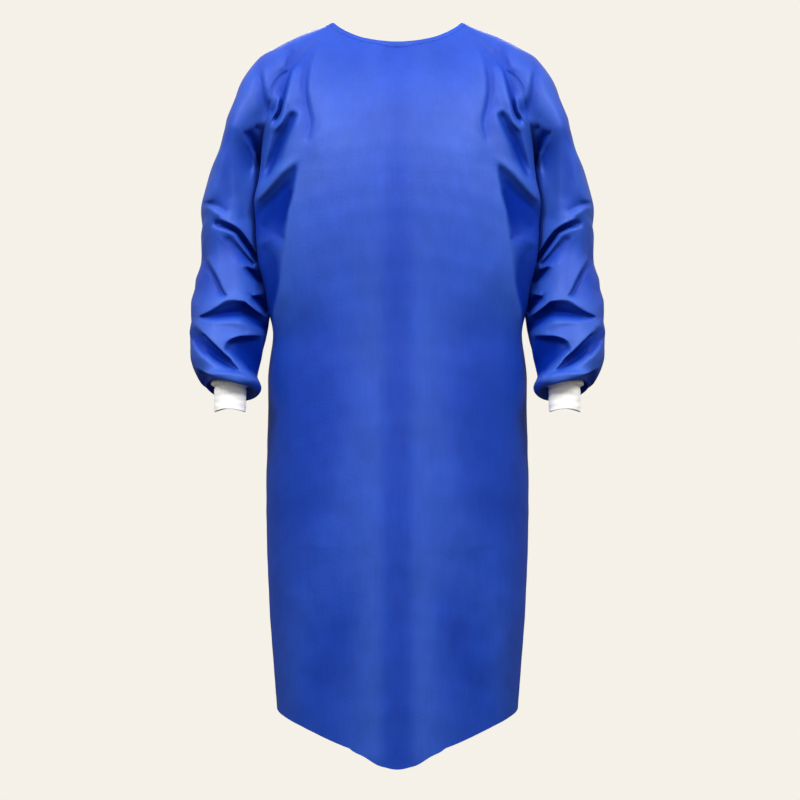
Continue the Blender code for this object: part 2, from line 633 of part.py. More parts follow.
def back_place(panels, normals, station, x):
    """A place on the outside of the back: the point at this station and x, and its normal."""
    edge = -BACK_EDGE_AT_NECK - (BACK_EDGE_AT_HEM - BACK_EDGE_AT_NECK) * station / HEM
    name = "back_panel_left" if x > edge else "back_panel_right"
    stations = body_stations()
    row = int(np.searchsorted(stations, station) - 1)
    share = (station - stations[row]) / (stations[row + 1] - stations[row])
    places = []
    for r in (row, row + 1):
        line = panels[name].grid[r]
        order = np.argsort(line[:, 0])
        point = [np.interp(x, line[order, 0], line[order, i]) for i in range(3)]
        normal = [np.interp(x, line[order, 0], normals[name][r][order, i]) for i in range(3)]
        places.append(np.array((point, normal)))
    point, normal = places[0] * (1 - share) + places[1] * share
    return point, normal / np.linalg.norm(normal)


def tie_path(panels, normals, tie):
    """Centre points and normals of a tie: across from its root, round a turn, and down its tail."""
    toward = math.copysign(1.0, tie.tail_x - tie.root_x)
    straight = tie.tail_x - toward * TIE_TURN
    places = [(tie.station, tie.root_x + (straight - tie.root_x) * t) for t in ACROSS_SHARES]
    for i in range(1, TURN_POINTS + 1):
        turn = math.pi / 2 * i / TURN_POINTS
        places.append((tie.station + TIE_TURN * (1 - math.cos(turn)), straight + toward * TIE_TURN * math.sin(turn)))
    for i in range(1, TAIL_POINTS + 1):
        t = i / TAIL_POINTS
        places.append((tie.station + TIE_TURN + tie.tail * t, tie.tail_x + tie.tail_lean * t))
    tail_start = len(ACROSS_SHARES) + TURN_POINTS
    path = []
    for i, (station, x) in enumerate(places):
        point, normal = back_place(panels, normals, station, x)
        still_on_over_panel = tie.lift > OVER_LIFT and i < len(ACROSS_SHARES) - 1
        lift = TIE_CLEAR + TIE_WALL / 2 if still_on_over_panel else tie.lift
        if i > tail_start:
            lift += (TAIL_LIFT - tie.lift) * min(1.0, (i - tail_start) / TAIL_SETTLE_POINTS)
        path.append((point + normal * lift, normal))
    return path


def add_tie(path, name, material):
    """A flat tape swept along its path."""
    centres = [centre for centre, normal in path]
    sections = []
    for i, (centre, normal) in enumerate(path):
        along = centres[min(i + 1, len(path) - 1)] - centres[max(i - 1, 0)]
        sideways = np.cross(normal, along)
        sideways = sideways / np.linalg.norm(sideways) * TIE_WIDTH / 2
        out = normal * TIE_WALL / 2
        sections.append([centre + sideways + out, centre - sideways + out,
                         centre - sideways - out, centre + sideways - out])
    return add_swept(name, sections, material)


def add_knot(tape, panels, normals, tie, other):
    """The knot where two ties meet: a rounded lump joined to the tape that wraps over the other."""
    middle_x = (tie.tail_x + other.tail_x) / 2
    point, normal = back_place(panels, normals, tie.station + TIE_TURN / 2, middle_x)
    bpy.ops.mesh.primitive_cube_add(size=1.0)
    lump = bpy.context.active_object
    lump.name = f"{tape.name}_knot_shape"
    lump.scale = KNOT_SIZE
    bpy.ops.object.transform_apply(location=False, rotation=False, scale=True)
    bevel = lump.modifiers.new("round", "BEVEL")
    bevel.width = KNOT_BEVEL
    bevel.segments = 2
    lump.location = point + normal * KNOT_LIFT
    lump.rotation_euler = Vector(normal).to_track_quat("Y", "Z").to_euler()
    lump.hide_render = True
    lump.display_type = "WIRE"
    joined = tape.modifiers.new("knot", "BOOLEAN")
    joined.operation = "UNION"
    joined.object = lump


def clear_scene_and_build():
    clear_scene()
    blue = cloth_material("gown_cloth", GOWN_BLUE, 0.62)
    white = cloth_material("cuff_knit", CUFF_WHITE, 0.85)

    sleeve = sleeve_grid()
    panels = {
        "front_panel": Panel("front_panel", "body", front_grid(), False),
        "back_panel_left": Panel("back_panel_left", "body", back_grid(1), False),
        "back_panel_right": Panel("back_panel_right", "body", back_grid(-1), True),
        "sleeve_left": Panel("sleeve_left", "sleeve", sleeve, False, YOKE_ROWS),
        "sleeve_right": Panel("sleeve_right", "sleeve", mirrored(sleeve), True, YOKE_ROWS),
    }
    fold_panels(list(panels.values()))
    units = dict(zip(panels, shared_normals(list(panels.values()), CREASE_COSINE)))
    lift_overlap(panels["back_panel_left"], units["back_panel_left"], OVER_LIFT)
    lift_overlap(panels["back_panel_right"], units["back_panel_right"], UNDER_LIFT)
    units = dict(zip(panels, shared_normals(list(panels.values()), CREASE_COSINE)))

    for name, panel in panels.items():
        rows, columns = panel.grid.shape[:2]
        free = {(0, c) for c in range(1, columns - 1)}
        if panel.piece == "body":
            free |= {(rows - 1, c) for c in range(1, columns - 1)}
        if name.startswith("back"):
            free |= {(r, columns - 1) for r in range(rows)}
        add_shell(panel, inset_grid(panel, free), units[name], blue)

    order = (("back_panel_left", -1), ("sleeve_left", -1), ("front_panel", -1), ("sleeve_right", 1),
             ("back_panel_right", 1))
    add_binding(neckline_path(panels, units, order), blue)
    for side, label in ((1, "left"), (-1, "right")):
        add_cuff(f"cuff_{label}", panels[f"sleeve_{label}"].grid[-1], side, white)
    tapes = [add_tie(tie_path(panels, units, tie), tie.node, blue) for tie in TIES]
    add_knot(tapes[0], panels, units, TIES[0], TIES[1])
    add_knot(tapes[2], panels, units, TIES[2], TIES[3])


clear_scene_and_build()
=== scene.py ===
"""Looks of the surgical gown: cloth shells with its creases, knit cuffs, bound neck, tied tapes and light.

Each cloth shell is worked out from the same tables of sections as its solid, on a finer grid. Its creases are
lines given as ridges and troughs, and between them the cloth is the smoothest surface that holds to
them. Metres, +Z up, front towards -Y. The left side is worked out and the right side is its mirror image.
"""

import json
import math
from collections import namedtuple

import bpy
import numpy as np
from mathutils import Vector
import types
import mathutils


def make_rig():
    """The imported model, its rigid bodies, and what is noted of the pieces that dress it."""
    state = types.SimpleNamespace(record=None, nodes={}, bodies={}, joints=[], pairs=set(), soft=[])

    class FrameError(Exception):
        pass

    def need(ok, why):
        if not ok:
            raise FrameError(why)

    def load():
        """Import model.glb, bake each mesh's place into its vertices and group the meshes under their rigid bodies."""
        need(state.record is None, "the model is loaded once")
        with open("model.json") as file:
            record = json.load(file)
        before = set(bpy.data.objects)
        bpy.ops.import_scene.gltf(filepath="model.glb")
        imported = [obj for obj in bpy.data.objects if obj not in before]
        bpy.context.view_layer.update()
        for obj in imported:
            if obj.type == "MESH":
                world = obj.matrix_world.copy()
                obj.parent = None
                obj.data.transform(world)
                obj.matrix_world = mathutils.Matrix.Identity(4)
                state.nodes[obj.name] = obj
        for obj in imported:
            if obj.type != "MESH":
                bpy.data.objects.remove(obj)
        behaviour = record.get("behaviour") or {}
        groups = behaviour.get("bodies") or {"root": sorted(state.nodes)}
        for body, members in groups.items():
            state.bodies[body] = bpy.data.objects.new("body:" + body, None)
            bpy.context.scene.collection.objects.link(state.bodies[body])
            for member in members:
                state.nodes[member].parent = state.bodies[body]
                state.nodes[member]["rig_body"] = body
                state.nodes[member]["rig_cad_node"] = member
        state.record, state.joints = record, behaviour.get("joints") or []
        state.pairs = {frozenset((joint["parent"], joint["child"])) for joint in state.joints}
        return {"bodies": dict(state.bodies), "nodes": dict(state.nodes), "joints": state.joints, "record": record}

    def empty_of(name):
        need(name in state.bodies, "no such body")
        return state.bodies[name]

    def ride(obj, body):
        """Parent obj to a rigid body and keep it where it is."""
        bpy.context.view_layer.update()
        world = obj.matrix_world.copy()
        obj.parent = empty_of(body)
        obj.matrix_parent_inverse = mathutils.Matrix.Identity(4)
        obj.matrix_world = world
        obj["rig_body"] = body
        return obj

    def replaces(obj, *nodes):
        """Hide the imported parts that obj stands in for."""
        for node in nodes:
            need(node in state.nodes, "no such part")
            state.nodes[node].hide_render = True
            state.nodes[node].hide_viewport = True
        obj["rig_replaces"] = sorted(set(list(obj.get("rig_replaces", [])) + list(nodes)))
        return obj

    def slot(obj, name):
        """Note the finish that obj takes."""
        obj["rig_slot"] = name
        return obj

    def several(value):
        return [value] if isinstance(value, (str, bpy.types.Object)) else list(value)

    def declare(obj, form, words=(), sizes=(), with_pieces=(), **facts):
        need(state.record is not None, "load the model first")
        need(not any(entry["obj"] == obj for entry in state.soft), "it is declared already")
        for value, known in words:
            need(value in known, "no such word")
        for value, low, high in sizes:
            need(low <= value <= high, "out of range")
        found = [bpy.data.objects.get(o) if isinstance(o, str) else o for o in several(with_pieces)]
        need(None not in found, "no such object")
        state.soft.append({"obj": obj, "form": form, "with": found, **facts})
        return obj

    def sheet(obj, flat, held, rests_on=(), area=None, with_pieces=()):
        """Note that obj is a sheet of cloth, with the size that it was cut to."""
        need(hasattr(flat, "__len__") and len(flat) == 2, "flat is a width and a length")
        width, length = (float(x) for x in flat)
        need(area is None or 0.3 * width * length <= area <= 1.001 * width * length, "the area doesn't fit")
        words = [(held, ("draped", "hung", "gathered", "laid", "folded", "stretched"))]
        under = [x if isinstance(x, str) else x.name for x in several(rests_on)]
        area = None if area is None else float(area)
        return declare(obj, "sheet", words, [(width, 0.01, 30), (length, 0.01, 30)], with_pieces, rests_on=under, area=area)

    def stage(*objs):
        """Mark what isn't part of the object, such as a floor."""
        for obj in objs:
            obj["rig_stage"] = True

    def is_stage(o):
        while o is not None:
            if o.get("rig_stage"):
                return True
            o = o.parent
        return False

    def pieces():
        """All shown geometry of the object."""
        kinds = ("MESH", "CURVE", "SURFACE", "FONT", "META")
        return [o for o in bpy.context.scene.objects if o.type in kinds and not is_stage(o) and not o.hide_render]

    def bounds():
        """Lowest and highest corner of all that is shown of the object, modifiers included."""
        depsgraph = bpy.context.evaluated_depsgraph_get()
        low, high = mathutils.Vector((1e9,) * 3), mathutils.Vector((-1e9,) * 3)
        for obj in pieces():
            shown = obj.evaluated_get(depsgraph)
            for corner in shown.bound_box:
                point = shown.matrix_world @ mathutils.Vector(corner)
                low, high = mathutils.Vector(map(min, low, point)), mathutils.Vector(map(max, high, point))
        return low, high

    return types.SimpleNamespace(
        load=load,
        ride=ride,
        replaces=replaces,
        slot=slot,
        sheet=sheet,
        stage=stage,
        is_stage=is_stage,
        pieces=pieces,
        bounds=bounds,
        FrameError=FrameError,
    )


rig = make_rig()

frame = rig.load()
cad_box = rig.bounds()

MILLIMETRE = 0.001
PER_METRE = 1000.0

# A distance beyond all others, and the least values that keep divisions safe.
FAR = 1e9
TINY = 1e-12
SHORTEST_SIDE = 1e-6
SMALLEST_AREA = 1e-9

# The cloth's thickness, and the stations down the body and down the sleeve where they change.
SCENE_WALL = 0.0008
UNDERARM = 0.240
WAIST = 0.520
HEM = 1.160
SLEEVE_END = 0.640

# How finely each stretch is divided. The forearm's rows lie closer together towards the cuff.
YOKE_ROWS = 70
CHEST_ROWS = 70
SKIRT_ROWS = 80
FOREARM_ROWS = 175
FOREARM_SPACING = 1.15
HALF_FRONT_COLUMNS = 108
BACK_COLUMNS = 110
SLEEVE_COLUMNS = 196
YOKE = slice(0, YOKE_ROWS + 1)

# Where front to back the arm presses the body's side in, and how full a sleeve stays where it is pinched.
ARM_DIP_Y = 0.014
ARM_DIP_REACH = 0.046
PINCH_FULLNESS = 1.3

# How far past the middle a back panel's free edge lies, how far across it the overlap begins and is full, and
# how far the left panel lies over the body's surface there and the right panel under it.
BACK_EDGE_AT_NECK = 0.052
BACK_EDGE_AT_HEM = 0.090
OVERLAP_START = 0.78
OVERLAP_FULL = 0.46
OVER_LIFT = 0.0035
UNDER_LIFT = -0.0025

# The camera looks level along +Y at the height of the gown's middle.
EYE = (0.0044, -2.4, -0.630)
FOCAL_PIXELS = 1368
IMAGE_PIXELS = 800
SENSOR = 36.0

# How far a crease's pull reaches over the cloth, how firmly the cloth holds to its crease lines and to its
# rim at the cuff, how stiff a link between two points may be, how many widths from its line a crease still
# pulls, and how much of a ridge's height sags below it.
CREASE_REACH = 0.060
CREASE_HOLD = 5.0
RIM_HOLD = 1e9
STIFFEST_LINK = 12.0
CREASE_MARGIN = 4
RIDGE_SAG = 0.45
SOLVER_STEPS = 220

# A view that creases are placed in: which way it pushes the cloth, how squarely a face must meet it before
# its creases begin to show there, where they show in full, and the share of their height that is built.
View = namedtuple("View", "direction begins full share")
VIEWS = {
    "front": View((0.0, -1.0, 0.0), 0.05, 0.35, 1.3),
    "side": View((1.0, 0.0, 0.0), 0.70, 0.95, 0.25),
    "back": View((0.0, 1.0, 0.0), 0.05, 0.35, 1.0),
}

# Where the sleeve's yoke turns into its tube, these rows to each side are evened out, but not near the
# underarm.
BLEND_ROWS = 14
BLEND_PASSES = 60
BLEND_TURN = 0.5
BLEND_SHARE = 0.25

# The groove along each seam, and a slow unevenness of the cloth from crossing waves.
SEAM_DEPTH = 0.0004
SEAM_REACH = 0.0020
CRUMPLE = 0.00035
CRUMPLE_WAVES = 14
CRUMPLE_LENGTHS = (0.025, 0.09)
CRUMPLE_SEED = 11

# A section of a body panel: its edge at the side or raglan seam, its middle line, how far round the section
# goes, how square it is, how far the arm presses the side in, and how far its middle hangs below the rest.
BodyRow = namedtuple("BodyRow", "station edge_x edge_y edge_z middle_y middle_z arc square arm_dip hem_dip")

FRONT_ROWS = (
    BodyRow(0.000, 0.110, -0.026, 0.0240, -0.060, -0.0165, 62, 2.00, 0.000, 0.000),
    BodyRow(0.045, 0.150, -0.062, -0.026, -0.083, -0.052, 62, 2.10, 0.000, 0.000),
    BodyRow(0.085, 0.181, -0.083, -0.066, -0.102, -0.090, 64, 2.20, 0.000, 0.000),
    BodyRow(0.120, 0.206, -0.089, -0.100, -0.117, -0.126, 68, 2.30, 0.000, 0.000),
    BodyRow(0.160, 0.222, -0.074, -0.145, -0.129, -0.166, 76, 2.40, 0.004, 0.000),
    BodyRow(0.200, 0.237, -0.040, -0.192, -0.138, -0.208, 84, 2.45, 0.014, 0.000),
    BodyRow(0.240, 0.251, 0.012, -0.235, -0.144, -0.246, 90, 2.50, 0.029, 0.000),
    BodyRow(0.290, 0.259, 0.014, -0.290, -0.148, -0.296, 90, 2.50, 0.038, 0.000),
    BodyRow(0.360, 0.253, 0.014, -0.360, -0.149, -0.362, 90, 2.50, 0.036, 0.000),
    BodyRow(0.440, 0.240, 0.014, -0.440, -0.147, -0.440, 90, 2.45, 0.028, 0.000),
    BodyRow(0.480, 0.226, 0.012, -0.480, -0.146, -0.480, 90, 2.40, 0.014, 0.000),
    BodyRow(0.520, 0.219, 0.008, -0.520, -0.146, -0.520, 90, 2.35, 0.002, 0.000),
    BodyRow(0.575, 0.2250, 0.003, -0.575, -0.1485, -0.575, 90, 2.30, 0.000, 0.000),
    BodyRow(0.630, 0.2255, 0.000, -0.630, -0.151, -0.630, 90, 2.30, 0.000, 0.000),
    BodyRow(0.800, 0.229, 0.000, -0.800, -0.159, -0.800, 90, 2.30, 0.000, -0.008),
    BodyRow(0.980, 0.2235, 0.000, -0.980, -0.166, -0.980, 90, 2.30, 0.000, -0.028),
    BodyRow(1.160, 0.2105, 0.000, -1.160, -0.172, -1.160, 90, 2.30, 0.000, -0.073),
)

# From the underarm down, the back shares the front's sections but for its middle line and its hem.
BACK_MIDDLES = (
    (0.131, -0.242, 0), (0.129, -0.294, 0), (0.124, -0.361, 0), (0.119, -0.44, 0), (0.118, -0.48, 0),
    (0.119, -0.52, 0), (0.123, -0.575, 0), (0.127, -0.63, 0), (0.138, -0.8, 0), (0.146, -0.98, -0.004),
    (0.15, -1.16, -0.01),
)
BACK_ROWS = (
    BodyRow(0.000, 0.104, 0.036, 0.0255, 0.072, 0.010, 62, 2.00, 0.000, 0.000),
    BodyRow(0.045, 0.146, 0.074, -0.018, 0.098, -0.035, 62, 2.10, 0.000, 0.000),
    BodyRow(0.085, 0.177, 0.096, -0.062, 0.113, -0.078, 64, 2.20, 0.000, 0.000),
    BodyRow(0.120, 0.200, 0.104, -0.100, 0.122, -0.115, 68, 2.30, 0.000, 0.000),
    BodyRow(0.160, 0.218, 0.092, -0.147, 0.128, -0.158, 76, 2.40, 0.004, 0.000),
    BodyRow(0.200, 0.235, 0.058, -0.193, 0.131, -0.202, 84, 2.45, 0.014, 0.000),
    *(row._replace(middle_y=middle_y, middle_z=middle_z, hem_dip=hem_dip)
      for row, (middle_y, middle_z, hem_dip) in zip(FRONT_ROWS[6:], BACK_MIDDLES)),
)

# A section of a sleeve: its outermost point, its innermost point below the underarm, its half depth front to
# back, how far it has closed into a ring, how sharply it is pinched at the underarm, and how far the ring
# leans forward.
SleeveRow = namedtuple("SleeveRow",
                       "station outer_x outer_y outer_z inner_x inner_y inner_z depth closing pinch lean")

SLEEVE_ROWS = (
    SleeveRow(0.000, 0.1165, 0.004, 0.0260, 0.222, 0.012, -0.235, 0.030, 0.00, 1.0, 0),
    SleeveRow(0.045, 0.1795, 0.006, 0.0040, 0.222, 0.012, -0.235, 0.030, 0.00, 1.0, 0),
    SleeveRow(0.085, 0.2320, 0.007, -0.0240, 0.222, 0.012, -0.235, 0.050, 0.05, 1.0, 0),
    SleeveRow(0.100, 0.2480, 0.007, -0.0420, 0.222, 0.012, -0.235, 0.060, 0.10, 1.0, 0),
    SleeveRow(0.120, 0.2660, 0.007, -0.0655, 0.222, 0.012, -0.235, 0.070, 0.18, 1.0, 0),
    SleeveRow(0.160, 0.2885, 0.008, -0.1220, 0.222, 0.012, -0.235, 0.088, 0.50, 1.0, 0),
    SleeveRow(0.200, 0.3070, 0.009, -0.1800, 0.222, 0.012, -0.235, 0.094, 0.82, 1.0, 0),
    SleeveRow(0.240, 0.3275, 0.010, -0.2380, 0.222, 0.012, -0.235, 0.096, 1.00, 1.0, 0),
    SleeveRow(0.290, 0.3420, 0.010, -0.290, 0.2335, 0.014, -0.283, 0.094, 1.00, 0.5, 0),
    SleeveRow(0.340, 0.3425, 0.010, -0.342, 0.2365, 0.014, -0.335, 0.091, 1.00, 0.2, 0),
    SleeveRow(0.390, 0.3455, 0.006, -0.392, 0.2345, 0.010, -0.388, 0.088, 1.00, 0.0, 2),
    SleeveRow(0.440, 0.3555, -0.006, -0.440, 0.2265, -0.002, -0.440, 0.084, 1.00, 0.0, 4),
    SleeveRow(0.480, 0.3585, -0.020, -0.478, 0.2225, -0.016, -0.478, 0.079, 1.00, 0.0, 7),
    SleeveRow(0.520, 0.3575, -0.038, -0.516, 0.2265, -0.034, -0.516, 0.073, 1.00, 0.0, 10),
    SleeveRow(0.560, 0.3530, -0.058, -0.556, 0.2335, -0.056, -0.556, 0.065, 1.00, 0.0, 14),
    SleeveRow(0.590, 0.3410, -0.072, -0.590, 0.2385, -0.072, -0.590, 0.056, 1.00, 0.0, 17),
    SleeveRow(0.612, 0.3265, -0.088, -0.602, 0.2305, -0.088, -0.610, 0.058, 1.00, 0.0, 22),
    SleeveRow(0.625, 0.3215, -0.093, -0.608, 0.2395, -0.093, -0.617, 0.0450, 1.00, 0.0, 22),
    SleeveRow(0.640, 0.3142, -0.096, -0.592, 0.2478, -0.096, -0.592, 0.0332, 1.00, 0.0, 8),
)

# How far below the rest the hem hangs, as a share of the row's hem_dip, by the distance from the middle of
# the gown.
HemShape = namedtuple("HemShape", "station share")

# The first row repeats the third on the other side, so that the hem is level at the middle.
HEM_SHAPE = (
    HemShape(-0.027, 0.900),
    HemShape(0.000, 1.000),
    HemShape(0.027, 0.900),
    HemShape(0.054, 0.675),
    HemShape(0.0745, 0.560),
    HemShape(0.0785, 0.522),
    HemShape(0.084, 0.503),
    HemShape(0.110, 0.400),
    HemShape(0.141, 0.255),
    HemShape(0.176, 0.105),
    HemShape(0.194, 0.045),
    HemShape(0.230, 0.000),
)

